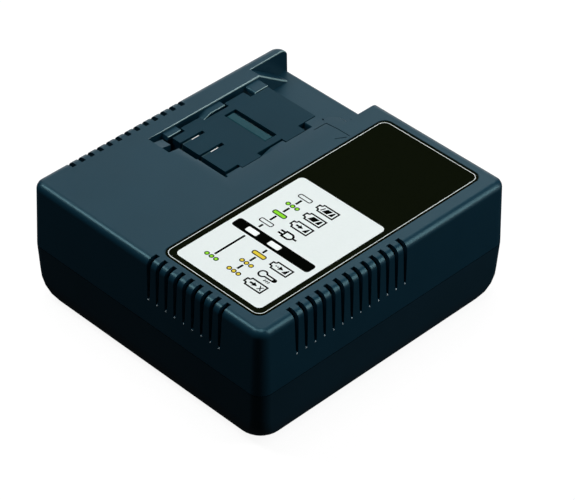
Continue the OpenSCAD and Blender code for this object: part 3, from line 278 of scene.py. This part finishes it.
def metal(name, dark, light, low=0.2, high=0.35, brushed=(1, 1, 8), metallic=1.0):
    """Metal with fine scratches.

    brushed squeezes the scratches along x, y and z, so that they run across
    the axis with the largest number."""
    recipe = Recipe(name, metallic=metallic)
    recipe.colours(recipe.noise(STREAK_SIZE, detail=4.0, stretch=brushed), dark, light)
    recipe.uneven_gloss(recipe.noise(SHEEN_SIZE, detail=2.0, stretch=brushed), low, high)
    recipe.bump(recipe.noise(SCRATCH_SIZE, detail=2.0, stretch=brushed), SCRATCH_DEPTH, 0.5)
    return recipe.material


INK_PATCH_SIZE = 0.0016
INK_GLOSS_SIZE = 0.004
INK_MESH_SIZE = 0.0005
INK_MESH_DEPTH = 0.000008


def printed(name, colour, spread=0.06, roughness=(0.35, 0.5), **sockets):
    """Screen-printed ink: even colour with a trace of mesh in it."""
    recipe = Recipe(name, **sockets)
    dark = tuple(c * (1 - spread) for c in colour)
    recipe.colours(recipe.noise(INK_PATCH_SIZE, detail=3.0), dark, colour)
    recipe.uneven_gloss(recipe.noise(INK_GLOSS_SIZE, detail=2.0), *roughness)
    recipe.bump(recipe.noise(INK_MESH_SIZE, detail=1.0), INK_MESH_DEPTH, 0.4)
    return recipe.material


# The colours of the highlights on the shells and on their edges that carry a painted highlight
SHELL_TINT = (0.44, 0.90, 1.0, 1.0)
EDGE_HIGHLIGHT_TINT = (0.8, 0.95, 1.0, 1.0)

upper_plastic = moulded("upper_shell_plastic", (0.0040, 0.0260, 0.0450), (0.0046, 0.0290, 0.0500),
                        0.33, 0.37, 0.00003, specular=0.40, Specular_Tint=SHELL_TINT)
# The lower shell's plastic is painted darker than the upper's, as shade on the walls below the
# seam
lower_shaded_plastic = moulded("lower_shell_shaded_plastic", (0.0045, 0.0195, 0.0320), (0.0055, 0.0220, 0.0365),
                        0.33, 0.37, 0.00003, specular=0.40, Specular_Tint=SHELL_TINT)
plate_plastic = moulded("plate_plastic", (0.0003, 0.0200, 0.0350), (0.0005, 0.0225, 0.0390),
                        specular=0.15, Specular_Tint=SHELL_TINT)
catch_plastic = moulded("catch_plastic", (0.0020, 0.0400, 0.0540), (0.0030, 0.0450, 0.0600),
                        specular=0.26, Specular_Tint=SHELL_TINT)
carrier_plastic = moulded("carrier_plastic", (0.010, 0.036, 0.046), (0.014, 0.042, 0.054),
                          specular=0.30, Specular_Tint=SHELL_TINT)
# Light colour for the chosen bevelled edges: a painted highlight
edge_highlight_plastic = moulded("painted_edge_highlight_plastic", (0.150, 0.260, 0.270), (0.210, 0.340, 0.350),
                         0.22, 0.3, 0.00002, specular=0.6, Specular_Tint=EDGE_HIGHLIGHT_TINT)
# Near-black for the bevelled rims at the parting line: painted shade in the gap between the
# shells
painted_seam_shade_plastic = moulded("painted_seam_shade_plastic", (0.0002, 0.0020, 0.0035), (0.0003, 0.0026, 0.0045),
                       0.6, 0.7, specular=0.02)
# Light grey-blue for the studs under the slots: a painted glint
painted_slot_glint_plastic = moulded("painted_slot_glint_plastic", (0.42, 0.52, 0.56), (0.52, 0.62, 0.66),
                           0.25, 0.35)
black_plastic = moulded("black_plastic", (0.008, 0.008, 0.009), (0.014, 0.014, 0.016))
box_yellow = moulded("capacitor_box_plastic", (0.55, 0.38, 0.02), (0.68, 0.48, 0.04), 0.2, 0.3)
relay_blue = moulded("relay_plastic", (0.01, 0.04, 0.13), (0.015, 0.055, 0.17), 0.2, 0.3)
terminal_green = moulded("terminal_plastic", (0.01, 0.12, 0.04), (0.015, 0.16, 0.06))
foot_rubber = moulded("foot_rubber", (0.006, 0.006, 0.006), (0.012, 0.012, 0.012), 0.7, 0.85)
gland_rubber = moulded("gland_rubber", (0.008, 0.008, 0.009), (0.014, 0.014, 0.015), 0.6, 0.75)
lens_plastic = moulded("window_lens", (0.86, 0.90, 0.89), (0.92, 0.95, 0.94), 0.25, 0.35,
                       specular=0.2)
led_plastic = moulded("led_capsule", (0.62, 0.58, 0.30), (0.75, 0.72, 0.42), 0.2, 0.3)
cable_plastic = moulded("flat_cable_plastic", (0.40, 0.40, 0.38), (0.5, 0.5, 0.48))
laminate = moulded("board_laminate", (0.006, 0.06, 0.02), (0.01, 0.09, 0.03), 0.25, 0.4)
ferrite = moulded("ferrite", (0.012, 0.012, 0.013), (0.03, 0.03, 0.032), 0.55, 0.7, 0.00012)
winding_tape = moulded("winding_tape", (0.55, 0.36, 0.05), (0.66, 0.46, 0.08), 0.25, 0.4)
can_sleeve = moulded("capacitor_sleeve", (0.008, 0.012, 0.03), (0.014, 0.02, 0.045), 0.2, 0.3)
lead_plastic = moulded("lead_insulation", (0.22, 0.01, 0.008), (0.32, 0.02, 0.012), 0.35, 0.45)
fuse_glass = moulded("fuse_glass", (0.6, 0.66, 0.66), (0.7, 0.76, 0.76), 0.05, 0.1)
copper = metal("copper_wire", (0.55, 0.22, 0.09), (0.75, 0.34, 0.15))
aluminium = metal("sink_aluminium", (0.55, 0.56, 0.58), (0.68, 0.69, 0.71), 0.3, 0.45)
spring_steel = metal("spring_steel", (0.5, 0.5, 0.5), (0.66, 0.66, 0.65))
screw_steel = metal("screw_steel", (0.38, 0.38, 0.38), (0.52, 0.52, 0.52), 0.25, 0.4)
# Near-white and mostly unmetallic: the blades' pale plating with a painted highlight on it
blade_metal = metal("blade_metal", (0.93, 0.93, 0.92), (0.98, 0.98, 0.97), 0.42, 0.5,
                    brushed=(8, 1, 1), metallic=0.2)

label_olive = printed("label_olive", (0.0034, 0.0051, 0.0017), 0.15, (0.45, 0.55), IOR=1.03)
ink_white = printed("ink_white", (0.755, 0.815, 0.805), 0.02, IOR=1.1)
ink_black = printed("ink_black", (0.0008, 0.0012, 0.0006), 0.2, (0.5, 0.6), IOR=1.03)
ink_green = printed("ink_green", (0.24, 0.66, 0.03), IOR=1.1)
ink_amber = printed("ink_amber", (0.72, 0.56, 0.05), IOR=1.1)

# ------------------------------------------------------------- case shells

TOP = 0.077
EDGE_ROUND = 0.0004
LOWER_EDGE_ROUND = 0.0001

# Walls beside the dock whose upper edges get a painted highlight, with the
# heights between which those edges lie
RAIL_WALL_X = -0.071
RAIL_EDGES_Z = (0.0615, 0.0772)
RAIL_EDGE_ROUND = 0.0007
FIN_WALL_X = -0.0792
FIN_EDGES_Z = (0.0, 1.0)
FIN_EDGE_ROUND = 0.0006
TAB_WALLS_X = (-0.0662, -0.0629)
TAB_EDGES_Z = (0.070, 0.0756)
TAB_EDGE_ROUND = 0.00035

# The rims where the two shells meet
SEAM_Z = 0.036
SEAM_REACH = 0.0004
SEAM_ROUND = 0.0004
LOWER_SEAM_ROUND = 0.0005

# How far a face has to turn towards a side to count as facing it, how little
# to count as upright, and how near a wall a point has to be to lie in it
FACING = 0.9
PARTLY_FACING = 0.5
UPRIGHT = 0.2
IN_WALL = 1e-5
# An outer face looks away from the middle of the case, and stands this far off
OUTER_REACH = 0.03

GROOVE_WIDTH = 0.0005
GROOVE_DEPTH = 0.0006

# The slots' lower ends, where a small light stud is a painted glint
SLOT_PITCH = 0.00657
SIDE_SLOTS = 13
SIDE_SLOT_START = -0.06622
SIDE_WALL_X = 0.08745
FRONT_SLOTS = 9
FRONT_SLOT_START = 0.00492
FRONT_WALL_Y = 0.09195
SLOT_END_Z = 0.0515
WALL_LEAN = 2.0
STUD_R = 0.00075
STUD_TIP_R = STUD_R * 0.5
STUD_PROUD = 0.0003
STUD_ROUND = 0.00003

PLATE_ROUND = 0.00022
SPRING_SMOOTH_ANGLE = math.radians(40)

# Folded line beside the dock, and the short dash next to it, as x, y and the
# height of the surface there, in metres
FOLD_LINE = [(-0.0158, 0.0491, 0.0762), (-0.0155, 0.0580, 0.0762), (0.0021, 0.0582, 0.0770)]
DASH = [(-0.00165, 0.0507, 0.0770), (0.0015, 0.0561, 0.0770)]


def groove_cutter(name, start, end):
    """A thin upright blade along the surface, for cutting a line into it."""
    length = math.hypot(end[0] - start[0], end[1] - start[1])
    middle = [(a + b) / 2 for a, b in zip(start, end)]
    bpy.ops.object.select_all(action="DESELECT")
    bpy.ops.mesh.primitive_cube_add(size=1)
    blade = bpy.context.object
    blade.name = name
    blade.scale = (length + GROOVE_WIDTH, GROOVE_WIDTH, 2 * GROOVE_DEPTH)
    settle(blade)
    blade.rotation_euler = (0, -math.atan2(end[2] - start[2], length),
                            math.atan2(end[1] - start[1], end[0] - start[0]))
    blade.location = middle
    settle(blade)
    return blade


def cut(obj, cutter):
    """Take the cutter's shape out of obj, and the cutter out of the scene."""
    apply_modifier(obj, "BOOLEAN", operation="DIFFERENCE", object=cutter, solver="EXACT")
    bpy.data.objects.remove(cutter)


def bevel_edges(obj, chosen, width, material):
    """Round the chosen edges, and give the new faces the material with that number."""
    edit(obj)
    bpy.ops.mesh.select_mode(type="EDGE")
    bpy.ops.mesh.select_all(action="DESELECT")
    mesh = bmesh.from_edit_mesh(obj.data)
    for edge in mesh.edges:
        if len(edge.link_faces) == 2 and chosen(edge):
            edge.select_set(True)
    bmesh.update_edit_mesh(obj.data)
    bpy.ops.mesh.bevel(affect="EDGES", offset=width, segments=3, clamp_overlap=False,
                       material=material)
    bpy.ops.mesh.select_mode(type="VERT")
    leave_edit()


def on_wall(x, low, high):
    """Upper edges, from low to high, of a wall that faces right at x, but not its foot."""
    def chosen(edge):
        if any(abs(v.co.x - x) > IN_WALL or not low < v.co.z < high for v in edge.verts):
            return False
        walls = [f for f in edge.link_faces if f.normal.x > FACING]
        tops = [f for f in edge.link_faces if f.normal.z > PARTLY_FACING]
        return len(walls) == 1 and len(tops) == 1 and edge.is_convex
    return chosen


def on_rim(facing):
    """A shell's outer edge at the seam: facing is 1 for a rim that looks up, -1 for down."""
    def chosen(edge):
        corner = edge.verts[0].co
        rim = [f for f in edge.link_faces if f.normal.z * facing > FACING]
        outer = [f for f in edge.link_faces if abs(f.normal.z) < UPRIGHT
                 and f.normal.x * corner.x + f.normal.y * corner.y > OUTER_REACH]
        level = all(abs(v.co.z - SEAM_Z) < SEAM_REACH for v in edge.verts)
        return level and len(rim) == 1 and len(outer) == 1
    return chosen


def make_upper_shell():
    """The upper shell, with its surface lines, edges with a painted highlight and a lower rim
    painted dark as shade.
    """
    shell = moulded_copy("upper_case", "upper_shell")
    materials = [upper_plastic, edge_highlight_plastic, painted_seam_shade_plastic]
    # Material numbers of the painted edge highlight and of the painted seam shade
    edge_highlight, seam = 1, 2
    for material in materials[1:]:
        shell.data.materials.append(material)
    for line in (FOLD_LINE, DASH):
        for start, end in zip(line, line[1:]):
            cut(shell, groove_cutter("surface_line", start, end))
    bevel_edges(shell, on_wall(RAIL_WALL_X, *RAIL_EDGES_Z), RAIL_EDGE_ROUND, edge_highlight)
    bevel_edges(shell, on_wall(FIN_WALL_X, *FIN_EDGES_Z), FIN_EDGE_ROUND, edge_highlight)
    for x in TAB_WALLS_X:
        bevel_edges(shell, on_wall(x, *TAB_EDGES_Z), TAB_EDGE_ROUND, edge_highlight)
    bevel_edges(shell, on_rim(-1), SEAM_ROUND, seam)
    finish_edges(shell, EDGE_ROUND)
    dress(shell, materials, "charger", "shell_upper", "upper_case")


def make_lower_shell():
    """The lower shell, whose bevelled upper rim is painted dark as the shade of the parting line.
    """
    shell = moulded_copy("lower_case", "lower_shell")
    shell.data.materials.append(painted_seam_shade_plastic)
    # Material number of the painted seam shade
    seam = 1
    bevel_edges(shell, on_rim(1), LOWER_SEAM_ROUND, seam)
    finish_edges(shell, LOWER_EDGE_ROUND)
    dress(shell, [lower_shaded_plastic, painted_seam_shade_plastic], "charger", "shell_lower", "lower_case")


def slot_glint_stud(x, y, turn):
    """A small four-sided stud on the wall, just under a slot, whose bright colour is a painted
    glint.
    """
    bpy.ops.object.select_all(action="DESELECT")
    bpy.ops.mesh.primitive_cone_add(vertices=4, radius1=STUD_R, radius2=STUD_TIP_R,
                                    depth=STUD_PROUD)
    stud = bpy.context.object
    stud.rotation_euler = (0, math.radians(90 - WALL_LEAN), turn)
    stud.location = (x, y, SLOT_END_Z)
    settle(stud)
    return stud


def make_slot_glints():
    """The studs of painted glint under the slots of both side walls and of the front wall."""
    studs = []
    for i in range(SIDE_SLOTS):
        y = SIDE_SLOT_START + i * SLOT_PITCH
        studs += [slot_glint_stud(SIDE_WALL_X, y, 0), slot_glint_stud(-SIDE_WALL_X, y, math.pi)]
    for i in range(FRONT_SLOTS):
        studs.append(slot_glint_stud(FRONT_SLOT_START + i * SLOT_PITCH, -FRONT_WALL_Y, -math.pi / 2))
    studs = join("painted_slot_glint_studs", studs)
    finish_edges(studs, STUD_ROUND)
    dress(studs, painted_slot_glint_plastic, "charger", "shell_upper")


def make_deck_plate():
    """The plate that sinks, which is the only piece on the body of that name."""
    plate = moulded_copy("dock_plate", "deck_plate")
    finish_edges(plate, PLATE_ROUND)
    dress(plate, plate_plastic, "plate", "shell_upper", "dock_plate")


def make_return_springs():
    """The springs under the plate."""
    springs = moulded_copy("plate_springs", "return_springs")
    only(springs)
    bpy.ops.object.shade_smooth_by_angle(angle=SPRING_SMOOTH_ANGLE)
    dress(springs, spring_steel, "charger", "spring_steel", "plate_springs")
    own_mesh(springs)


# Node, name of the finished piece, material, slot, and rounding in metres
SMALL_MOULDINGS = [("contact_block", "blade_carrier", carrier_plastic, "grey_plastic", 0.00012),
                   ("latch_catch", "catch_bar", catch_plastic, "grey_plastic", 0.0002),
                   ("contact_blades", "charging_blades", blade_metal, "contact_metal", 0.0001),
                   ("light_pipes", "window_lenses", lens_plastic, "lens", 0.00015),
                   ("cord_gland", "inlet_gland", gland_rubber, "gland", 0.0003),
                   ("rubber_feet", "feet", foot_rubber, "rubber", 0.00025)]


def make_small_mouldings():
    for node, name, material, slot, width in SMALL_MOULDINGS:
        piece = moulded_copy(node, name)
        finish_edges(piece, width)
        dress(piece, material, "charger", slot, node)


# ------------------------------------------------------------------- label

# Heights of the film and of the layers of ink on it, how thick both are, and
# how deep the openings for the windows are cut, in metres
LABEL_FACE = 0.07688
FILM_THICKNESS = 0.00038
PRINT = 0.00002
WINDOW_CUT = 0.002
PANEL_FACE = LABEL_FACE + PRINT
MARK_FACE = LABEL_FACE + 2 * PRINT
TOP_MARK_FACE = LABEL_FACE + 3 * PRINT

# All below is in millimetres on the top of the case. Plates are x and y of the
# middle, width and depth
FILM, FILM_CORNER = (39.9, 0.9, 71.8, 165.2), 5.4
FRAME_LINE, FRAME_CORNER = (39.9, 0.75, 69.4, 162.6), 4.6
PINSTRIPE = 0.34
PANEL, PANEL_CORNER = (40.05, -31.1, 61.7, 91.8), 3.0
BAR, BAR_CORNER = (39.6, -36.3, 55.8, 7.4), 2.0
WINDOWS = [(24.2, -36.3, 8.3, 3.8), (40.4, -36.3, 8.3, 3.8)]
WINDOW_CORNER = 0.9

# Joining lines as x, y of the middle, and length
JOIN_WIDTH = 1.35
JOINS = [(23.8, -2.2, 4.4), (23.8, -11.3, 4.6), (23.8, -20.9, 4.7), (23.9, -29.9, 3.0),
         (24.0, -52.1, 21.5), (40.4, -43.2, 3.3), (40.4, -51.8, 4.3), (40.4, -60.7, 4.1)]

# Lights: rows of three dots, and pills, in black outlines
DOT_R = 1.3
DOT_STEP = 3.3
DOT_SIDES = 24
RING_R = DOT_R + 0.2
RING_STROKE = 0.56
GREEN_DOTS = [(23.9, -6.8), (24.1, -65.3)]
AMBER_DOTS = [(40.5, -56.3), (40.5, -65.3)]
PILL_SIZE = (8.9, 2.7)
OUTLINE_SIZE = (9.5, 3.3)
OUTLINE_STROKE = 0.66
# As a share of the pill's depth
PILL_CORNER = 0.4
GREEN_PILL = (23.95, -16.3)
AMBER_PILL = (40.3, -47.2)
EMPTY_PILLS = [(23.95, 2.55), (23.95, -25.9)]

PLATE_CORNER_STEPS = 6
MARK_CORNER_STEPS = 4

# Symbol outlines, around the middle of each symbol
STROKE = 1.0
BATTERY_CASE = [(-7.9, -1.9), (-6.1, -1.9), (-5.9, -3.4), (5.8, -3.4), (5.8, 3.4), (-5.9, 3.4),
                (-6.1, 1.9), (-7.9, 1.9)]
BATTERY_CORNER = 0.35
FULL_LEVEL = [[(-4.7, -1.5), (-3.9, -1.5), (-2.9, 1.5), (-3.7, 1.5)],
              [(-3.1, -1.7), (0.4, -1.7), (1.8, 1.7), (-1.7, 1.7)],
              [(1.3, -1.7), (3.8, -1.7), (3.8, 1.8), (2.8, 1.8)]]
PART_LEVEL = [[(-4.1, -1.7), (0.2, -1.7), (1.6, 1.7), (-2.7, 1.7)],
              [(1.1, -1.7), (3.8, -1.7), (3.8, 1.8), (2.6, 1.8)]]
LOW_LEVEL = [[(1.1, -1.7), (3.8, -1.7), (3.8, 1.8), (3.1, 1.8)]]
ARROW = [[(-4.5, -0.62), (-2.3, -0.62), (-2.3, -1.6), (0.4, 0.0), (-2.3, 1.6), (-2.3, 0.62),
          (-4.5, 0.62)]]
DOTTED_ARROW = [[(-4.6, -0.4), (-3.8, -0.4), (-3.8, 0.4), (-4.6, 0.4)],
                [(-3.3, -0.4), (-2.5, -0.4), (-2.5, 0.4), (-3.3, 0.4)],
                [(-2.0, -1.6), (0.8, 0.0), (-2.0, 1.6)]]
CROSS = [[(1.2, -1.6), (2.0, -1.6), (4.4, 1.6), (3.6, 1.6)],
         [(3.6, -1.6), (4.4, -1.6), (2.0, 1.6), (1.2, 1.6)]]
PLUG_BODY = [(-3.7, -2.9), (1.3, -2.9), (2.9, -1.8), (3.7, 0.0), (2.9, 1.8), (1.3, 2.9),
             (-3.7, 2.9)]
PLUG_CORNER = 0.4
PLUG_STROKE = 1.25
PLUG_LEAD_X, PLUG_LEAD_SIZE = 4.5, (2.2, 1.2)
PLUG_PIN_X, PLUG_PIN_Y, PLUG_PIN_SIZE, PLUG_PIN_CORNER = -4.9, 1.1, (3.2, 1.3), 0.15
BULB_R, BULB_STEPS = 2.85, 16
STEM_R, STEM_END, STEM_STEPS = 1.5, 9.7, 6
STEM_SPOT_X, STEM_SPOT_SIZE, STEM_SPOT_CORNER = 7.9, (1.5, 1.5), 0.3
AIR_X, AIR_Y, AIR_STEP, AIR_SIZE, AIR_TURN = 4.4, -3.1, 1.35, (0.7, 1.7), -20


def flat_plate(x, y, w, d, face, thickness, corner=0.0, turn=0.0, stroke=0.0):
    """A thin plate with rounded corners, or its outline when a stroke is given.

    x, y, w, d, corner and stroke are in millimetres on the top of the case."""
    bpy.ops.object.select_all(action="DESELECT")
    bpy.ops.mesh.primitive_plane_add(size=1, location=(x * MM, y * MM, face))
    plate = bpy.context.object
    plate.scale = (w * MM, d * MM, 1)
    plate.rotation_euler.z = math.radians(turn)
    settle(plate)
    edit(plate)
    if corner:
        bpy.ops.mesh.bevel(affect="VERTICES", offset=corner * MM, segments=PLATE_CORNER_STEPS)
    if stroke:
        bpy.ops.mesh.select_all(action="SELECT")
        bpy.ops.mesh.inset(thickness=stroke * MM)
        bpy.ops.mesh.delete(type="FACE")
    leave_edit()
    apply_modifier(plate, "SOLIDIFY", thickness=thickness, offset=-1)
    return plate


def disc(x, y, r, face, stroke=0.0):
    """A printed dot, or its ring when a stroke is given."""
    bpy.ops.object.select_all(action="DESELECT")
    bpy.ops.mesh.primitive_circle_add(vertices=DOT_SIDES, radius=r * MM, fill_type="NGON",
                                      location=(x * MM, y * MM, face))
    plate = bpy.context.object
    settle(plate)
    if stroke:
        edit(plate)
        bpy.ops.mesh.inset(thickness=stroke * MM)
        bpy.ops.mesh.delete(type="FACE")
        leave_edit()
    apply_modifier(plate, "SOLIDIFY", thickness=PRINT, offset=-1)
    return plate


def traced(x, y, points, corner=0.0, stroke=0.0):
    """A printed shape, drawn from point to point counter-clockwise around x, y."""
    bpy.ops.object.select_all(action="DESELECT")
    bpy.ops.mesh.primitive_plane_add(size=1, location=(x * MM, y * MM, MARK_FACE))
    plate = bpy.context.object
    settle(plate)
    edit(plate)
    bpy.ops.mesh.merge(type="CENTER")
    steps = [(b[0] - a[0], b[1] - a[1]) for a, b in zip([(0, 0)] + points, points)]
    bpy.ops.transform.translate(value=(steps[0][0] * MM, steps[0][1] * MM, 0))
    for dx, dy in steps[1:]:
        bpy.ops.mesh.extrude_region_move(TRANSFORM_OT_translate={"value": (dx * MM, dy * MM, 0)})
    bpy.ops.mesh.select_all(action="SELECT")
    bpy.ops.mesh.edge_face_add()
    if bmesh.from_edit_mesh(plate.data).faces[:][0].normal.z < 0:
        bpy.ops.mesh.flip_normals()
    if corner:
        bpy.ops.mesh.bevel(affect="VERTICES", offset=corner * MM, segments=MARK_CORNER_STEPS)
    if stroke:
        bpy.ops.mesh.select_all(action="SELECT")
        bpy.ops.mesh.inset(thickness=stroke * MM)
        bpy.ops.mesh.delete(type="FACE")
    leave_edit()
    apply_modifier(plate, "SOLIDIFY", thickness=PRINT, offset=-1)
    return plate


def mark(x, y, w, d, **more):
    """A printed plate in the layer of the symbols."""
    return flat_plate(x, y, w, d, MARK_FACE, PRINT, **more)


def battery(x, y, *contents):
    """A lying battery with its pole on the left, and what is inside it."""
    parts = [traced(x, y, BATTERY_CASE, corner=BATTERY_CORNER, stroke=STROKE)]
    for shapes in contents:
        parts += [traced(x, y, shape) for shape in shapes]
    return parts


def plug(x, y):
    """A plug with two pins on the left and a stub of lead on the right."""
    parts = [traced(x, y, PLUG_BODY, corner=PLUG_CORNER, stroke=PLUG_STROKE),
             mark(x + PLUG_LEAD_X, y, *PLUG_LEAD_SIZE)]
    for side in (1, -1):
        parts.append(mark(x + PLUG_PIN_X, y + side * PLUG_PIN_Y, *PLUG_PIN_SIZE,
                          corner=PLUG_PIN_CORNER))
    return parts


def thermometer(x, y):
    """A round bulb with its stem to the right, and warm air under the stem."""
    first = math.degrees(math.asin(STEM_R / BULB_R))
    turns = [math.radians(first + i * (360 - 2 * first) / BULB_STEPS)
             for i in range(BULB_STEPS + 1)]
    tip = [math.radians(-90 + i * 180 / STEM_STEPS) for i in range(STEM_STEPS + 1)]
    points = [(BULB_R * math.cos(t), BULB_R * math.sin(t)) for t in turns]
    points += [(STEM_END - STEM_R + STEM_R * math.cos(t), STEM_R * math.sin(t)) for t in tip]
    parts = [traced(x, y, points, stroke=STROKE),
             mark(x + STEM_SPOT_X, y, *STEM_SPOT_SIZE, corner=STEM_SPOT_CORNER)]
    parts += [mark(x + AIR_X + AIR_STEP * i, y + AIR_Y, *AIR_SIZE, turn=AIR_TURN)
              for i in range(3)]
    return parts


# What draws each symbol, x and y of its middle, and what a battery holds
SYMBOLS = [(battery, 40.5, 2.85, FULL_LEVEL),
           (battery, 40.5, -6.7, PART_LEVEL),
           (battery, 40.5, -16.2, ARROW, LOW_LEVEL),
           (plug, 40.0, -25.8),
           (battery, 56.85, -47.1, DOTTED_ARROW, LOW_LEVEL),
           (thermometer, 52.3, -56.2),
           (battery, 56.85, -65.3, ARROW, CROSS)]


def pill(x, y):
    """A long light."""
    w, d = PILL_SIZE
    return mark(x, y, w, d, corner=d * PILL_CORNER)


def pill_outline(x, y):
    """The black ring round a pill, or round the place of an unlit one."""
    w, d = OUTLINE_SIZE
    return flat_plate(x, y, w, d, TOP_MARK_FACE, PRINT, corner=d * PILL_CORNER,
                      stroke=OUTLINE_STROKE)


def dots(x, y):
    """Three round lights in a row."""
    return [disc(x + DOT_STEP * i, y, DOT_R, MARK_FACE) for i in (-1, 0, 1)]


def dot_rings(x, y):
    """The black rings round such a row."""
    return [disc(x + DOT_STEP * i, y, RING_R, TOP_MARK_FACE, stroke=RING_STROKE)
            for i in (-1, 0, 1)]


def cut_windows(plate):
    """Cut the openings for the two indicator windows."""
    for window in WINDOWS:
        cut(plate, flat_plate(*window, TOP, WINDOW_CUT, corner=WINDOW_CORNER))


def make_lights_print(name, ink, pill_place, dot_places):
    """The coloured lights: one pill, and the rows of dots."""
    parts = [pill(*pill_place)] + [dot for place in dot_places for dot in dots(*place)]
    dress(join(name, parts), ink, "charger", "label")


def make_label():
    """The label's film with its white, black, green and amber print."""
    film = flat_plate(*FILM, LABEL_FACE, FILM_THICKNESS, corner=FILM_CORNER)
    cut_windows(film)
    film.name = "label_film_sheet"
    dress(film, label_olive, "charger", "label", "label_film")

    line = flat_plate(*FRAME_LINE, PANEL_FACE, PRINT, corner=FRAME_CORNER, stroke=PINSTRIPE)
    panel = flat_plate(*PANEL, PANEL_FACE, PRINT, corner=PANEL_CORNER)
    cut_windows(panel)
    dress(join("label_white_print", [line, panel]), ink_white, "charger", "label")

    bar = mark(*BAR, corner=BAR_CORNER)
    cut_windows(bar)
    parts = [bar] + [mark(x, y, JOIN_WIDTH, d) for x, y, d in JOINS]
    for draw, x, y, *contents in SYMBOLS:
        parts += draw(x, y, *contents)
    parts += [pill_outline(x, y) for x, y in EMPTY_PILLS + [GREEN_PILL, AMBER_PILL]]
    for x, y in GREEN_DOTS + AMBER_DOTS:
        parts += dot_rings(x, y)
    dress(join("label_black_print", parts), ink_black, "charger", "label")

    make_lights_print("label_green_print", ink_green, GREEN_PILL, GREEN_DOTS)
    make_lights_print("label_amber_print", ink_amber, AMBER_PILL, AMBER_DOTS)


# --------------------------------------------------- inside, straight from CAD

INNER_SMOOTH_ANGLE = math.radians(30)
INNER_FINISHES = {
    "indicator_board": laminate, "indicator_leds": led_plastic,
    "indicator_cable": cable_plastic, "main_board": laminate, "transformer_core": ferrite,
    "transformer_winding": winding_tape, "bulk_capacitor": can_sleeve,
    "output_capacitors": can_sleeve, "line_choke": ferrite, "choke_winding": copper,
    "filter_capacitor": box_yellow, "mains_fuse": fuse_glass, "fuse_clips": spring_steel,
    "primary_heatsink": aluminium, "output_heatsink": aluminium,
    "power_transistor": black_plastic, "output_diode": black_plastic,
    "control_chip": black_plastic, "output_relay": relay_blue, "mains_terminal": terminal_green,
    "contact_leads": lead_plastic, "board_screws": screw_steel, "case_screws": screw_steel,
    "dock_screws": screw_steel,
}


def finish_inner_parts():
    """Give the nodes inside the case their materials, and leave their shapes."""
    for node, material in INNER_FINISHES.items():
        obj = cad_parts[node]
        obj.data.materials.clear()
        obj.data.materials.append(material)
        only(obj)
        bpy.ops.object.shade_smooth_by_angle(angle=INNER_SMOOTH_ANGLE)


# ------------------------------------------------------------- stage, light

FLOOR_SIZE = 8
FLOOR_GLOW = 0.91
FLOOR_DARK, FLOOR_LIGHT = (0.13, 0.13, 0.13), (0.14, 0.14, 0.14)
FLOOR_CLOUD_SIZE = 0.4
FLOOR_GLOSS_SIZE = 0.1
FLOOR_ROUGHNESS = (0.85, 0.95)
SKY_COLOUR = (0.86, 0.94, 1.0, 1)
SKY_STRENGTH = 0.018

# Name, place, the point it looks at, width and height in metres, watts, colour
SOFTBOXES = [
    ("rear_softbox", (-1.40, 1.42, 1.64), (0, 0, 0.06), (2.4, 2.4), 10.5, (1, 1, 1)),
    ("rear_glow", (-0.72, 1.26, 1.38), (0.06, 0.02, 0.07), (0.5, 0.5), 1.6, (1, 1, 1)),
    ("overhead_softbox", (0, 0, 2.5), (0, 0, 0), (1.2, 1.2), 26, (1, 1, 1)),
    ("front_shoulder_light", (-0.82, -0.38, 1.22), (0, 0, 0.06), (0.36, 0.7), 8.6, (1, 1, 1)),
    ("right_shoulder_light", (0.91, 0.72, 0.78), (0.08, 0, 0.06), (0.35, 0.95), 7.8, (1, 1, 1)),
    ("rear_left_light", (-1.2, 1.2, 0.35), (0, 0, 0.06), (2.0, 0.5), 5.5, (1, 1, 1)),
    ("right_fill", (0.40, 0.46, 0.13), (0.088, 0, 0.05), (0.3, 0.26), 0.35, (1.0, 0.92, 0.90)),
]


def add_stage():
    """A glowing pale floor that neither lights the object nor mirrors in it."""
    bpy.ops.object.select_all(action="DESELECT")
    bpy.ops.mesh.primitive_plane_add(size=FLOOR_SIZE, location=(0, 0, 0))
    floor = bpy.context.object
    floor.name = "studio_floor"
    recipe = Recipe("studio_floor", specular=0.05, Emission_Color=(1, 1, 1, 1),
                    Emission_Strength=FLOOR_GLOW)
    recipe.colours(recipe.noise(FLOOR_CLOUD_SIZE, detail=2.0), FLOOR_DARK, FLOOR_LIGHT)
    recipe.uneven_gloss(recipe.noise(FLOOR_GLOSS_SIZE), *FLOOR_ROUGHNESS)
    floor.data.materials.append(recipe.material)
    floor.visible_diffuse = False
    floor.visible_glossy = False


def add_softbox(name, place, aim, size, watts, colour):
    """A rectangular light at place that looks at aim."""
    data = bpy.data.lights.new(name, "AREA")
    data.shape = "RECTANGLE"
    data.size, data.size_y = size
    data.energy = watts
    data.color = colour
    light = bpy.data.objects.new(name, data)
    light.location = place
    light.rotation_euler = (Vector(aim) - Vector(place)).to_track_quat("-Z", "Y").to_euler()
    bpy.context.scene.collection.objects.link(light)


def add_lights():
    """A dim sky and the softboxes."""
    world = bpy.data.worlds.new("studio")
    world.use_nodes = True
    sky = world.node_tree.nodes["Background"]
    sky.inputs["Color"].default_value = SKY_COLOUR
    sky.inputs["Strength"].default_value = SKY_STRENGTH
    bpy.context.scene.world = world
    for softbox in SOFTBOXES:
        add_softbox(*softbox)
    bpy.context.scene.view_settings.view_transform = "Standard"


add_camera()
add_stage()
add_lights()
make_upper_shell()
make_lower_shell()
make_slot_glints()
make_deck_plate()
make_return_springs()
make_small_mouldings()
make_label()
finish_inner_parts()
